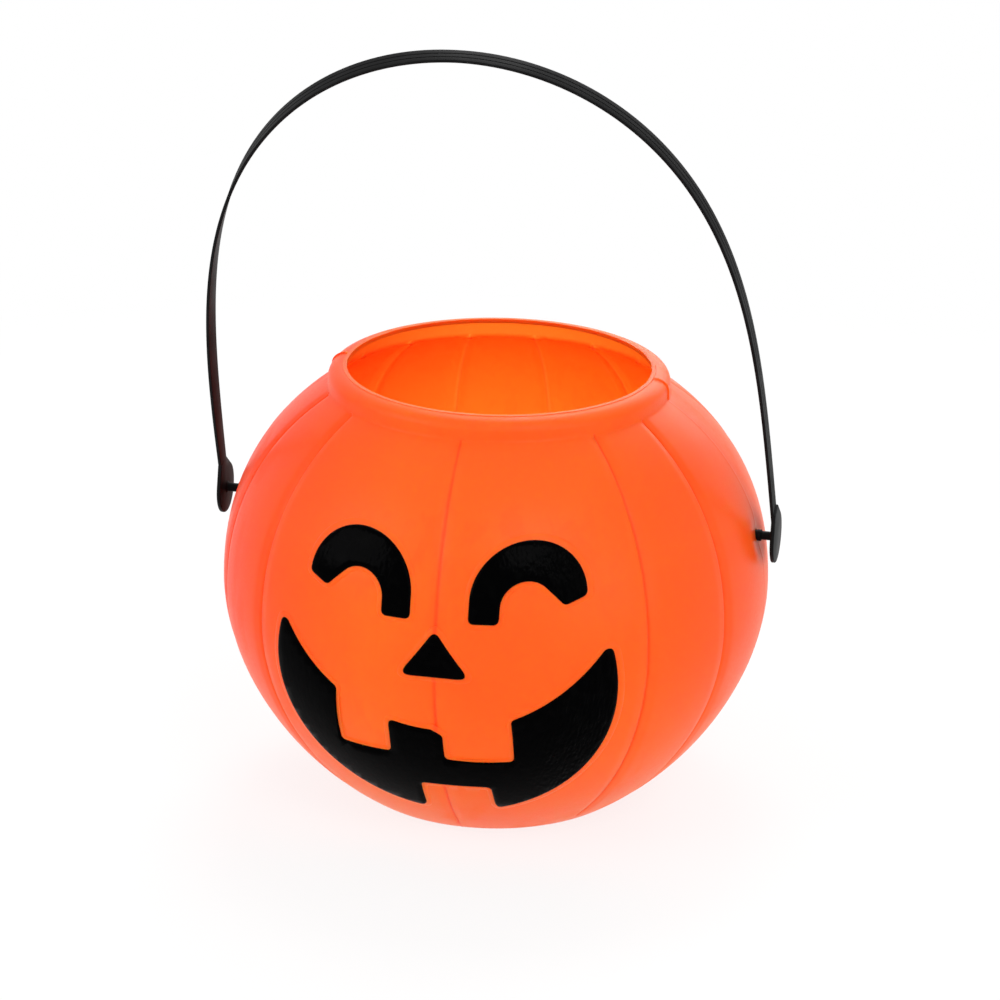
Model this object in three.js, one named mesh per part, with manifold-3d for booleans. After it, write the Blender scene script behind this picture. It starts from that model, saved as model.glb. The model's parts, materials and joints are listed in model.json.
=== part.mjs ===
// A pumpkin basket for sweets: a thin blow-moulded bucket with a raised, black-coated face and a
// snap-in strap handle. Lengths are in millimetres and +Z is up. The origin is the middle of the
// foot, the face looks along -Y, and the handle turns about a line along X.

import * as THREE from 'three';
import { mergeVertices } from 'three/addons/utils/BufferGeometryUtils.js';
import Module from 'manifold-3d';

const wasm = await Module();
wasm.setup();

// Bucket wall
const bodyRadius = 100;
const widestHeight = 81;
const bellyPower = 1.83;
const shoulderPower = 2.17;
const wallThickness = 1.5;
const wallRingSpacing = 10.5;
const outsideStep = THREE.MathUtils.degToRad(8);
const insideStep = THREE.MathUtils.degToRad(10);

// Foot
const footRadius = 49;
const footRound = 1.6;
const footRingWidth = 9;
const pushUp = 2.5;
const pushUpSlope = 4;

// Collar and lip
const neckRadius = 62;
const neckHeight = 153.7;
const collarUpright = 3.4;
const collarRollHeight = 4.4;
const collarRollIn = 5.3;

// Creases pressed into the wall, as on a pumpkin
const creaseCount = 16;
const creaseWidth = 2.4;
const creaseDepth = 0.7;
const creaseFade = 8;

// Handle pivots
const hingeBelowNeck = 48.4;
const studRadius = 1.9;
const studHoleGap = 0.4;
const dimpleRadius = 10;
const dimpleDepth = 1;
const snapOverlap = 1.3;
const snapTipRadius = 1.6;
const snapHeadLength = 4;
const snapPlay = 0.6;

// Handle pads and strap
const padWallGap = 3.4;
const padThickness = 1.5;
const padRadius = 9.5;
const padFlankHeight = 12.5;
const padEdgeRound = 0.4;
const strapWidth = 6.3;
const strapThickness = 1.2;
const strapEdgeRound = 0.3;
const strapStep = 9;
const archHeight = 199.5;
const archPower = 3.87;
const archTaper = 0.09;
const leftLegBow = 2.5;
const leftLegTwist = THREE.MathUtils.degToRad(10);
const handleTilt = THREE.MathUtils.degToRad(20);

// Raised face and its coat of paint
const reliefHeight = 0.8;
const coatGap = 0.3;
const coatThickness = 0.4;
const cornerRound = 1.6;

// Eyes: arches on both sides of a line that stands a little right of the middle crease
const eyeLine = 1.1;
const eyeOffset = 29.8;
const eyeAboveWidest = 26.6;
const eyeRadius = 19.5;
const eyeHollowRadius = 8.9;
const eyeHollowDrop = 2.3;
const eyeLegLength = 8.1;
const eyeTipReach = 12.6;
const eyeTipDrop = 2;
const eyeTipRise = THREE.MathUtils.degToRad(3);

// Nose
const noseHalfWidth = 12.7;
const noseBelowWidest = 1.7;
const noseLength = 17.2;

// Mouth: an ellipse below, a flatter arc above, and three teeth
const mouthBelowWidest = 6;
const mouthHalfWidth = 61.3;
const mouthDepth = 57.3;
const mouthTipRise = THREE.MathUtils.degToRad(14);
const mouthTipWidth = 2.3;
const grinSag = 17;
const smallToothLeft = -37;
const smallToothWidth = 19.6;
const smallToothLength = 12.5;
const bigToothLeft = 2.3;
const bigToothWidth = 24.2;
const bigToothLength = 13.2;
const lowerToothLeft = -8.1;
const lowerToothWidth = 25.1;
const lowerToothLength = 14.3;
const gapChamferWidth = 4.1;
const gapChamferDrop = 2.4;

// Finishes
const orangePlastic = { color: 0xfd6426, roughness: 0.42 };
const blackPaint = { color: 0x08080a, roughness: 0.25 };
const blackPlastic = { color: 0x232427, roughness: 0.45 };

// Sizes that follow from the ones above
const lipHeight = neckHeight + collarUpright + collarRollHeight;
const lipRadius = neckRadius - collarRollIn;
const mouthRadius = lipRadius - wallThickness;
const hingeHeight = neckHeight - hingeBelowNeck;
const bellyDrop = superellipseReach(widestHeight, footRadius / bodyRadius, bellyPower);
const shoulderRise = superellipseReach(neckHeight - widestHeight, neckRadius / bodyRadius, shoulderPower);
const padInnerX = widestWallNear(hingeHeight, padRadius) + padWallGap;
const archHalfSpan = padInnerX + padThickness / 2;
const studHoleRadius = studRadius + studHoleGap;
const snapHeadRadius = studHoleRadius + snapOverlap;
const wallAtSnap = bodyRadiusAt(hingeHeight + snapHeadRadius) - dimpleDepth - wallThickness;
const footRingOuter = footRadius - footRound;
const footRingInner = footRingOuter - footRingWidth;
const coatInset = coatGap + coatThickness;
const clearOfBody = bodyRadius * 1.2;
const eyeHeight = widestHeight + eyeAboveWidest;
const mouthHeight = widestHeight - mouthBelowWidest;
const grinLowest = mouthHeight - grinSag;
const grinTipX = mouthHalfWidth * Math.cos(mouthTipRise) - mouthTipWidth;
const grinRise = grinSag + mouthDepth * Math.sin(mouthTipRise);
const grinRadius = (grinTipX ** 2 + grinRise ** 2) / (2 * grinRise);

// How far a superellipse of unit radius runs along its axis, if it has narrowed to share at height.
function superellipseReach(height, share, power) {
  return height / (1 - share ** power) ** (1 / power);
}

// Radius of the plain bucket wall at a height between the foot and the neck.
function bodyRadiusAt(height) {
  const above = height >= widestHeight;
  const power = above ? shoulderPower : bellyPower;
  const reach = above ? shoulderRise : bellyDrop;
  const share = Math.min(1, Math.abs(height - widestHeight) / reach);
  return bodyRadius * (1 - share ** power) ** (1 / power);
}

// The widest the wall gets within some distance above or below a height.
function widestWallNear(height, distance) {
  const nearest = THREE.MathUtils.clamp(widestHeight, height - distance, height + distance);
  return bodyRadiusAt(nearest);
}

// Splits a polyline into parts of equal length and gives the points between them, ends included.
function spacedEvenly(points, spacing) {
  const lengths = [0];
  points.slice(1).forEach((point, i) => lengths.push(lengths[i] + point.distanceTo(points[i])));
  const total = lengths[lengths.length - 1];
  const parts = Math.max(1, Math.round(total / spacing));
  const spaced = [];
  for (let part = 0; part <= parts; part += 1) {
    const wanted = (total * part) / parts;
    const next = Math.max(1, lengths.findIndex((length) => length >= wanted - 1e-9));
    const share = (wanted - lengths[next - 1]) / (lengths[next] - lengths[next - 1]);
    spaced.push(points[next - 1].clone().lerp(points[next], share));
  }
  return spaced;
}

// Points (radius, height) of the wall between two heights, with its end points.
function wallPoints(low, high) {
  const samples = 120;
  const dense = [];
  for (let i = 0; i <= samples; i += 1) {
    const height = low + ((high - low) * i) / samples;
    dense.push(new THREE.Vector2(bodyRadiusAt(height), height));
  }
  return spacedEvenly(dense, wallRingSpacing);
}

// Underside and foot: a raised middle, a flat ring and a small round up to the wall.
function footPoints() {
  const start = new THREE.Vector2(footRingOuter, 0);
  const corner = new THREE.Vector2(footRadius, 0);
  const end = new THREE.Vector2(bodyRadiusAt(footRound), footRound);
  const round = new THREE.QuadraticBezierCurve(start, corner, end).getPoints(3);
  round.pop();
  return [
    new THREE.Vector2(0, pushUp),
    new THREE.Vector2(footRingInner - pushUpSlope, pushUp),
    new THREE.Vector2(footRingInner, 0),
    ...round,
  ];
}

// Collar: upright from the neck, then rolled in to the cut lip.
function collarPoints() {
  const rollStart = lipHeight - collarRollHeight;
  const steps = 4;
  const points = [new THREE.Vector2(neckRadius, neckHeight + collarUpright / 2)];
  for (let i = 0; i <= steps; i += 1) {
    const angle = (Math.PI / 2) * (i / steps);
    const radius = lipRadius + collarRollIn * Math.cos(angle);
    points.push(new THREE.Vector2(radius, rollStart + collarRollHeight * Math.sin(angle)));
  }
  return points;
}

// Profile of the outside from just above the foot to the lip, with rings close round the pivots.
function sideProfile() {
  const pivotStep = dimpleRadius / 2;
  const aroundPivot = [hingeHeight - pivotStep, hingeHeight, hingeHeight + pivotStep];
  const stops = [footRound, ...aroundPivot, neckHeight];
  const wall = [];
  stops.slice(1).forEach((stop, i) => {
    const stretch = wallPoints(stops[i], stop);
    if (i > 0) stretch.shift();
    wall.push(...stretch);
  });
  return [...wall, ...collarPoints()];
}

// Unit normals of a profile that runs up the outside, pointing out of the material.
function profileNormals(profile) {
  return profile.map((point, i) => {
    const before = profile[Math.max(0, i - 1)];
    const after = profile[Math.min(profile.length - 1, i + 1)];
    const along = after.clone().sub(before).normalize();
    return new THREE.Vector2(along.y, -along.x);
  });
}

// Profile moved along its normals. What lies on the axis stays on it.
function movedProfile(profile, distance) {
  const normals = profileNormals(profile);
  return profile.map((point, i) => {
    if (point.x === 0) return new THREE.Vector2(0, point.y - distance);
    return point.clone().addScaledVector(normals[i], distance);
  });
}

// Angles from the face, in radians, of the creases: none under the eyes, none on the parting line.
function creaseAngles() {
  const angles = [];
  const quarter = creaseCount / 4;
  for (let i = 0; i < creaseCount; i += 1) {
    const fromFace = Math.min(i, creaseCount - i);
    if (fromFace !== 1 && fromFace !== quarter) angles.push((2 * Math.PI * i) / creaseCount);
  }
  return angles;
}

// Angles at which the wall has vertices: on creases, closely round the pivots, evenly between.
function wallAzimuths(creases, widestStep) {
  const creaseHalf = creaseWidth / 2 / bodyRadius;
  const pivotStep = dimpleRadius / 2 / bodyRadius;
  const marks = creases.flatMap((angle) => [angle - creaseHalf, angle, angle + creaseHalf]);
  [Math.PI / 2, (3 * Math.PI) / 2].forEach((side) => {
    [-2, -1, 0, 1, 2].forEach((step) => marks.push(side + step * pivotStep));
  });
  const turn = 2 * Math.PI;
  const sorted = marks.map((angle) => (angle + turn) % turn).sort((a, b) => a - b);
  const filled = [];
  sorted.forEach((angle, i) => {
    const next = i + 1 < sorted.length ? sorted[i + 1] : sorted[0] + turn;
    const parts = Math.max(1, Math.ceil((next - angle) / widestStep - 1e-6));
    for (let part = 0; part < parts; part += 1) filled.push(angle + ((next - angle) * part) / parts);
  });
  return filled;
}

// Depth of the dimple round each pivot hole, at an angle from the face and a height.
function dimpleAt(angle, height) {
  const fromPivot = Math.acos(Math.abs(Math.sin(angle)));
  const distance = Math.hypot(fromPivot * bodyRadius, height - hingeHeight);
  if (distance >= dimpleRadius) return 0;
  return dimpleDepth * Math.cos((Math.PI / 2) * (distance / dimpleRadius)) ** 2;
}

// Depth of a crease at a height: it fades out towards the foot and ends at the neck.
function creaseAt(height) {
  const fade = THREE.MathUtils.smoothstep(height, footRound, footRound + creaseFade);
  return height < neckHeight ? creaseDepth * fade : 0;
}

// A closed solid from a profile whose ends lie on the axis, drawn in by sink(angle, height).
function turnedSolid(profile, azimuths, sink) {
  const normals = profileNormals(profile);
  const vertices = [0, 0, profile[0].y];
  profile.slice(1, -1).forEach((point, i) => {
    azimuths.forEach((angle) => {
      const depth = sink(angle, point.y);
      const radius = point.x - normals[i + 1].x * depth;
      const height = point.y - normals[i + 1].y * depth;
      vertices.push(radius * Math.sin(angle), -radius * Math.cos(angle), height);
    });
  });
  vertices.push(0, 0, profile[profile.length - 1].y);
  const count = azimuths.length;
  const rings = profile.length - 2;
  const top = 1 + rings * count;
  const triangles = [];
  for (let i = 0; i < count; i += 1) {
    const j = (i + 1) % count;
    triangles.push(0, 1 + j, 1 + i);
    for (let ring = 0; ring + 1 < rings; ring += 1) {
      const low = 1 + ring * count;
      const high = low + count;
      triangles.push(low + i, low + j, high + j, low + i, high + j, high + i);
    }
    triangles.push(top, top - count + i, top - count + j);
  }
  return solidFrom(new Float32Array(vertices), new Uint32Array(triangles));
}

function solidFrom(vertProperties, triVerts) {
  return new wasm.Manifold(new wasm.Mesh({ numProp: 3, vertProperties, triVerts }));
}

// Turns a closed three.js geometry into a solid that can be joined and cut.
function solidFromGeometry(geometry) {
  geometry.deleteAttribute('normal');
  geometry.deleteAttribute('uv');
  const merged = mergeVertices(geometry, 1e-4);
  return solidFrom(new Float32Array(merged.attributes.position.array), new Uint32Array(merged.index.array));
}

function geometryFromSolid(solid) {
  const mesh = solid.getMesh();
  const geometry = new THREE.BufferGeometry();
  geometry.setAttribute('position', new THREE.BufferAttribute(new Float32Array(mesh.vertProperties), 3));
  geometry.setIndex(new THREE.BufferAttribute(new Uint32Array(mesh.triVerts), 1));
  geometry.computeVertexNormals();
  return geometry;
}

// Points on an arc of an ellipse, both ends included.
function arcPoints(centreX, centreZ, radiusX, radiusZ, from, to, steps) {
  const points = [];
  for (let i = 0; i <= steps; i += 1) {
    const angle = from + ((to - from) * i) / steps;
    const x = centreX + radiusX * Math.cos(angle);
    const z = centreZ + radiusZ * Math.sin(angle);
    points.push(new THREE.Vector2(x, z));
  }
  return points;
}

// Replaces each sharp corner of a closed outline by a short round.
function roundCorners(points, radius) {
  const sharpTurn = 0.5;
  const rounded = [];
  points.forEach((point, i) => {
    const before = points[(i + points.length - 1) % points.length];
    const after = points[(i + 1) % points.length];
    const arriving = point.clone().sub(before);
    const leaving = after.clone().sub(point);
    const cosine = arriving.dot(leaving) / (arriving.length() * leaving.length());
    const turn = Math.acos(THREE.MathUtils.clamp(cosine, -1, 1));
    if (turn < sharpTurn) {
      rounded.push(point);
      return;
    }
    const room = 0.45 * Math.min(arriving.length(), leaving.length());
    const cut = Math.min(room, radius * Math.tan(turn / 2));
    const start = point.clone().addScaledVector(arriving.normalize(), -cut);
    const end = point.clone().addScaledVector(leaving.normalize(), cut);
    rounded.push(...new THREE.QuadraticBezierCurve(start, point, end).getPoints(3));
  });
  return rounded;
}

// Outline moved inwards by a distance; the outline runs counter-clockwise.
function insetOutline(points, distance) {
  return points.map((point, i) => {
    const before = points[(i + points.length - 1) % points.length];
    const after = points[(i + 1) % points.length];
    const first = point.clone().sub(before).normalize();
    const second = after.clone().sub(point).normalize();
    const firstNormal = new THREE.Vector2(-first.y, first.x);
    const secondNormal = new THREE.Vector2(-second.y, second.x);
    const reach = distance / (1 + firstNormal.dot(secondNormal));
    return point.clone().addScaledVector(firstNormal.add(secondNormal), reach);
  });
}

// Arch-shaped eye. Its long leg stands beside the nose. Side is -1 on the left, seen from the front.
function eyeOutline(side) {
  const hollowHeight = eyeHeight - eyeHollowDrop;
  const legFoot = eyeHeight - eyeLegLength;
  const outline = [
    new THREE.Vector2(-eyeRadius, legFoot),
    ...arcPoints(0, eyeHeight, eyeRadius, eyeRadius, Math.PI, eyeTipRise, 14),
    new THREE.Vector2(eyeTipReach, eyeHeight - eyeTipDrop),
    ...arcPoints(0, hollowHeight, eyeHollowRadius, eyeHollowRadius, Math.PI / 4, Math.PI, 6),
    new THREE.Vector2(-eyeHollowRadius, legFoot),
  ];
  return outline.map((point) => new THREE.Vector2(eyeLine + side * (eyeOffset + point.x), point.y));
}

function noseOutline() {
  const base = widestHeight - noseBelowWidest;
  return [
    new THREE.Vector2(-noseHalfWidth, base),
    new THREE.Vector2(noseHalfWidth, base),
    new THREE.Vector2(0, base + noseLength),
  ];
}

// Stretch of the mouth's lower ellipse between two angles.
function chinArc(from, to) {
  return arcPoints(0, mouthHeight, mouthHalfWidth, mouthDepth, from, to, 12);
}

// Angle on the mouth's lower ellipse where it crosses a place left or right of the middle.
function chinAngle(x) {
  return 2 * Math.PI - Math.acos(x / mouthHalfWidth);
}

// Stretch of the mouth's upper arc between two places left or right of the middle.
function grinArc(fromX, toX, steps) {
  const from = Math.asin(fromX / grinRadius) - Math.PI / 2;
  const to = Math.asin(toX / grinRadius) - Math.PI / 2;
  return arcPoints(0, grinLowest + grinRadius, grinRadius, grinRadius, from, to, steps);
}

function mouthOutline() {
  const smallToothRight = smallToothLeft + smallToothWidth;
  const smallToothTip = grinLowest - smallToothLength;
  const bigToothRight = bigToothLeft + bigToothWidth;
  const bigToothTip = grinLowest - bigToothLength;
  const lowerToothRight = lowerToothLeft + lowerToothWidth;
  const lowerToothTip = mouthHeight - mouthDepth + lowerToothLength;
  const gapTop = grinArc(bigToothLeft - gapChamferWidth, smallToothRight, 2);
  return [
    ...chinArc(Math.PI - mouthTipRise, chinAngle(lowerToothLeft)),
    new THREE.Vector2(lowerToothLeft, lowerToothTip),
    new THREE.Vector2(lowerToothRight, lowerToothTip),
    ...chinArc(chinAngle(lowerToothRight), 2 * Math.PI + mouthTipRise),
    ...grinArc(grinTipX, bigToothRight, 5),
    new THREE.Vector2(bigToothRight, bigToothTip),
    new THREE.Vector2(bigToothLeft, bigToothTip),
    new THREE.Vector2(bigToothLeft, gapTop[0].y - gapChamferDrop),
    ...gapTop,
    new THREE.Vector2(smallToothRight, smallToothTip),
    new THREE.Vector2(smallToothLeft, smallToothTip),
    ...grinArc(smallToothLeft, -grinTipX, 4),
  ];
}

// Prism over an outline drawn in the front view, from inside the bucket to beyond its face.
function facePrism(outline) {
  const shape = new THREE.Shape(outline);
  const geometry = new THREE.ExtrudeGeometry(shape, { depth: clearOfBody, bevelEnabled: false });
  geometry.rotateX(Math.PI / 2);
  return solidFromGeometry(geometry);
}

const faceOutlines = {
  left_eye: roundCorners(eyeOutline(-1), cornerRound),
  right_eye: roundCorners(eyeOutline(1), cornerRound),
  nose: roundCorners(noseOutline(), cornerRound),
  mouth: roundCorners(mouthOutline(), cornerRound),
};

// Outline of a face part, counter-clockwise, moved inwards by a distance.
function faceOutline(name, inset) {
  const outline = faceOutlines[name];
  const ordered = THREE.ShapeUtils.isClockWise(outline) ? [...outline].reverse() : outline;
  return inset > 0 ? insetOutline(ordered, inset) : ordered;
}

const bucketProfile = [...footPoints(), ...sideProfile()];
const creasedAzimuths = wallAzimuths(creaseAngles(), outsideStep);

// The wall's outside as a full body, raised by a distance and without its creases and dimples.
function raisedBody(distance) {
  const profile = movedProfile(bucketProfile, distance);
  profile.push(new THREE.Vector2(0, profile[profile.length - 1].y));
  return turnedSolid(profile, creasedAzimuths, () => 0);
}

function isCrease(angle) {
  return creaseAngles().some((crease) => Math.abs(crease - angle) < 1e-6);
}

// The bucket's outside as a full body, with creases and dimples.
function bucketBody() {
  const profile = [...bucketProfile, new THREE.Vector2(0, lipHeight)];
  const creases = new Set(creasedAzimuths.filter(isCrease));
  const sink = (angle, height) => dimpleAt(angle, height) + (creases.has(angle) ? creaseAt(height) : 0);
  return turnedSolid(profile, creasedAzimuths, sink);
}

// The space inside the wall, with its own floor over the foot, carried on past the lip.
function bucketCavity() {
  const side = movedProfile(sideProfile(), -wallThickness);
  side.pop();
  const above = lipHeight + wallThickness;
  const inside = [
    new THREE.Vector2(0, pushUp + wallThickness),
    new THREE.Vector2(footRingInner - pushUpSlope, pushUp + wallThickness),
    new THREE.Vector2(footRingInner, wallThickness),
    new THREE.Vector2(footRingOuter, wallThickness),
    ...side,
    new THREE.Vector2(mouthRadius, lipHeight - wallThickness / 2),
    new THREE.Vector2(mouthRadius, above),
    new THREE.Vector2(0, above),
  ];
  return turnedSolid(inside, wallAzimuths([], insideStep), dimpleAt);
}

// Raised pad of the wall under one part of the face.
function reliefPad(name) {
  return facePrism(faceOutline(name, coatInset)).intersect(raisedBody(reliefHeight));
}

// Round solid about a line along X, from a profile of [radius, place along X] pairs.
function roundAlongX(profile, sides) {
  const points = profile.map(([radius, along]) => new THREE.Vector2(radius, along));
  const geometry = new THREE.LatheGeometry(points, sides);
  geometry.rotateZ(-Math.PI / 2);
  return solidFromGeometry(geometry);
}

// One drill through both walls, for the two studs.
function studHoles() {
  const end = clearOfBody;
  const drill = roundAlongX([[0, -end], [studHoleRadius, -end], [studHoleRadius, end], [0, end]], 20);
  return drill.translate([0, 0, hingeHeight]);
}

function bucketShell() {
  let body = bucketBody();
  Object.keys(faceOutlines).forEach((name) => {
    body = body.add(reliefPad(name));
  });
  return geometryFromSolid(body.subtract(bucketCavity()).subtract(studHoles()));
}

// Coat of paint over the top and sides of one raised pad.
function faceCoat(name) {
  const outer = facePrism(faceOutline(name, 0)).intersect(raisedBody(reliefHeight + coatInset));
  const inner = facePrism(faceOutline(name, coatThickness)).intersect(raisedBody(reliefHeight + coatGap));
  return geometryFromSolid(outer.subtract(inner).subtract(raisedBody(coatGap)));
}

// Middle line of the strap in its own plane, from the left pad over the crown to the right pad.
function archPoints() {
  const samples = 160;
  const rightLeg = [];
  for (let i = 0; i <= samples; i += 1) {
    const rise = Math.sin((Math.PI / 2) * (i / samples));
    const halfSpan = archHalfSpan * (1 - archTaper * rise) * Math.sqrt(1 - rise ** archPower);
    rightLeg.push(new THREE.Vector2(halfSpan, archHeight * rise));
  }
  const leftLeg = rightLeg.map((point) => {
    const bow = leftLegBow * Math.sin((Math.PI * point.y) / archHeight);
    return new THREE.Vector2(-point.x - bow, point.y);
  });
  rightLeg.pop();
  return spacedEvenly([...leftLeg, ...rightLeg.reverse()], strapStep);
}

// Section of the strap: u is out of the arch and v is across the strap.
function strapSection() {
  const u = strapThickness / 2;
  const v = strapWidth / 2;
  const r = strapEdgeRound;
  const outside = [[u, v - r], [u, r - v], [u - r, -v], [r - u, -v]];
  const inside = [[-u, r - v], [-u, v - r], [r - u, v], [u - r, v]];
  return [...outside, ...inside];
}

// The strap: its section carried along the arch. The left leg is slightly bowed and twisted.
function strapSolid() {
  const path = archPoints();
  const section = strapSection();
  const vertices = [];
  path.forEach((point, i) => {
    const before = path[Math.max(0, i - 1)];
    const after = path[Math.min(path.length - 1, i + 1)];
    const along = after.clone().sub(before).normalize();
    const outX = -along.y;
    const outZ = along.x;
    const onLeftLeg = Math.min(1, (2 * i) / (path.length - 1));
    const twist = -leftLegTwist * Math.sin(2 * Math.PI * onLeftLeg);
    section.forEach(([u, v]) => {
      const out = u * Math.cos(twist) - v * Math.sin(twist);
      const across = u * Math.sin(twist) + v * Math.cos(twist);
      vertices.push(point.x + outX * out, across, point.y + outZ * out);
    });
  });
  const triangles = sweptTriangles(path.length, section.length);
  return solidFrom(new Float32Array(vertices), new Uint32Array(triangles));
}

// Triangles of a tube of rings, closed by a fan at each end.
function sweptTriangles(rings, sides) {
  const triangles = [];
  for (let ring = 0; ring + 1 < rings; ring += 1) {
    for (let i = 0; i < sides; i += 1) {
      const j = (i + 1) % sides;
      const low = ring * sides;
      const high = low + sides;
      triangles.push(low + i, low + j, high + j, low + i, high + j, high + i);
    }
  }
  const last = (rings - 1) * sides;
  for (let i = 1; i + 1 < sides; i += 1) {
    triangles.push(0, i + 1, i);
    triangles.push(last, last + i, last + i + 1);
  }
  return triangles;
}

// Outline of a pad: a disc round the hinge line, with two straight flanks that run up to the strap.
function padOutline() {
  const radius = padRadius - padEdgeRound;
  const flankEnd = new THREE.Vector2(strapWidth / 2 - padEdgeRound, padFlankHeight);
  const flankStart = flankEnd.angle() - Math.acos(radius / flankEnd.length());
  const shape = new THREE.Shape();
  shape.absarc(0, 0, radius, flankStart, Math.PI - flankStart, true);
  shape.lineTo(-flankEnd.x, flankEnd.y);
  shape.lineTo(flankEnd.x, flankEnd.y);
  shape.closePath();
  return shape;
}

// Pad with softened edges, on the right-hand side.
function padSolid() {
  const geometry = new THREE.ExtrudeGeometry(padOutline(), {
    depth: padThickness - 2 * padEdgeRound,
    bevelThickness: padEdgeRound,
    bevelSize: padEdgeRound,
    bevelSegments: 1,
    curveSegments: 20,
  });
  const toSide = new THREE.Matrix4().makeBasis(
    new THREE.Vector3(0, 1, 0),
    new THREE.Vector3(0, 0, 1),
    new THREE.Vector3(1, 0, 0),
  );
  geometry.applyMatrix4(toSide);
  geometry.translate(padInnerX + padEdgeRound, 0, 0);
  return solidFromGeometry(geometry);
}

// Stud from the pad through the wall, ending in a snap head wider than the hole.
function studSolid() {
  const headEnd = wallAtSnap - snapPlay;
  const tip = headEnd - snapHeadLength;
  const root = padInnerX + padThickness / 2;
  const head = [[0, tip], [snapTipRadius, tip], [snapHeadRadius, headEnd]];
  const shank = [[studRadius, headEnd], [studRadius, root], [0, root]];
  return roundAlongX([...head, ...shank], 16);
}

// The handle standing upright, with its hinge line through the origin along X.
function handleStrap() {
  const side = padSolid().add(studSolid());
  const otherSide = side.rotate([0, 0, 180]);
  return geometryFromSolid(strapSolid().add(side).add(otherSide));
}

function namedMesh(name, geometry, finish) {
  const mesh = new THREE.Mesh(geometry, new THREE.MeshStandardMaterial({ ...finish, metalness: 0 }));
  mesh.name = name;
  return mesh;
}

const group = new THREE.Group();
group.add(namedMesh('bucket_shell', bucketShell(), orangePlastic));
Object.keys(faceOutlines).forEach((name) => {
  group.add(namedMesh(name, faceCoat(name), blackPaint));
});

const handle = namedMesh('handle_strap', handleStrap(), blackPlastic);
handle.position.z = hingeHeight;
handle.rotation.x = handleTilt;
group.add(handle);

export default group;
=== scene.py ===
"""Pumpkin basket: a thin orange bucket, a raised black face and a swinging strap handle.

Everything is in metres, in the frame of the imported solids: +Z is up, the face looks along -Y
and the handle turns about a line along X. Each sub-assembly is a class that models its pieces
and dresses them.
"""

import json
import logging
import math
from bisect import bisect_left
from dataclasses import dataclass, field
from enum import Enum
from typing import Callable, Sequence

import bmesh
import bpy
from mathutils import Matrix, Vector


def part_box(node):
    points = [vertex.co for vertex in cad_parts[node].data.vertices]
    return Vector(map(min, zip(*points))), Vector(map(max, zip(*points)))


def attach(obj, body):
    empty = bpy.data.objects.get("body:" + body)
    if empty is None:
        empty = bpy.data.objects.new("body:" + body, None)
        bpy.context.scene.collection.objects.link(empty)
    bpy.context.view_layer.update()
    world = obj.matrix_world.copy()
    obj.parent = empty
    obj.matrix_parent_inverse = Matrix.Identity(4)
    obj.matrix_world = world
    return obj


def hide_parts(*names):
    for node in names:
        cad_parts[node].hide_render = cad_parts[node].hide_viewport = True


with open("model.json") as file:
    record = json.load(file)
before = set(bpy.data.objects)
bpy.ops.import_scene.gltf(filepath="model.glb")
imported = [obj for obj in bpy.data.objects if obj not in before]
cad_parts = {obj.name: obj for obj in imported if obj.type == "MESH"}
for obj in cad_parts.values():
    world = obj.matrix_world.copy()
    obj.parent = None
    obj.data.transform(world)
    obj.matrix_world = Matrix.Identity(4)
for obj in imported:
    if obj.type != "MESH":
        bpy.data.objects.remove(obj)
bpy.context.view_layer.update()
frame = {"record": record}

MM = 0.001
WELD = 0.001 * MM
NEAR = 1e-6
WHITE = (1.0, 1.0, 1.0, 1.0)
LOG = logging.getLogger("pumpkin_basket")

Point = tuple[float, float]
Colour = tuple[float, float, float]
Object = bpy.types.Object
Socket = bpy.types.NodeSocket


class Slot(Enum):
    """Material slots of the record."""

    ORANGE = "orange_plastic"
    PAINT = "black_paint"
    STRAP = "black_plastic"


class Body(Enum):
    """Moving bodies of the record."""

    BUCKET = "bucket"
    HANDLE = "handle"


# Bench tools


def deselect_all() -> None:
    """Leaves nothing selected."""
    bpy.ops.object.select_all(action="DESELECT")


def take(obj: Object) -> None:
    """Makes one object the only selected one and the active one."""
    deselect_all()
    obj.select_set(True)
    bpy.context.view_layer.objects.active = obj


def open_edit(obj: Object, mode: str = "VERT") -> None:
    """Starts edit mode on an object with nothing selected.

    Args:
        obj: The mesh object.
        mode: Kind of element that selections act on, VERT, EDGE or FACE.
    """
    take(obj)
    bpy.ops.object.mode_set(mode="EDIT")
    bpy.ops.mesh.select_mode(type=mode)
    bpy.ops.mesh.select_all(action="DESELECT")


def close_edit() -> None:
    """Goes back to object mode."""
    bpy.ops.object.mode_set(mode="OBJECT")


def pick_all() -> None:
    """Selects the whole mesh in edit mode."""
    bpy.ops.mesh.select_all(action="SELECT")


def pick_vertices(obj: Object, wanted: Callable[[Vector], bool]) -> None:
    """Selects the vertices of a mesh in edit mode by their place.

    Args:
        obj: The object in edit mode.
        wanted: Says whether a vertex at a place is selected.
    """
    mesh = bmesh.from_edit_mesh(obj.data)
    for vertex in mesh.verts:
        vertex.select_set(wanted(vertex.co))
    mesh.select_flush(True)
    bmesh.update_edit_mesh(obj.data)


def pick_edges(obj: Object, wanted: Callable[[Vector, Vector], bool]) -> None:
    """Selects the edges of a mesh in edit mode by the places of their ends.

    Args:
        obj: The object in edit mode.
        wanted: Says whether an edge between two places is selected.
    """
    mesh = bmesh.from_edit_mesh(obj.data)
    for edge in mesh.edges:
        edge.select_set(False)
    for edge in mesh.edges:
        if wanted(edge.verts[0].co, edge.verts[1].co):
            edge.select_set(True)
    bmesh.update_edit_mesh(obj.data)


def fatten(distance: float) -> None:
    """Moves what is selected along its normals, outwards if the distance is positive."""
    bpy.ops.transform.shrink_fatten(value=distance, use_even_offset=False)


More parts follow.
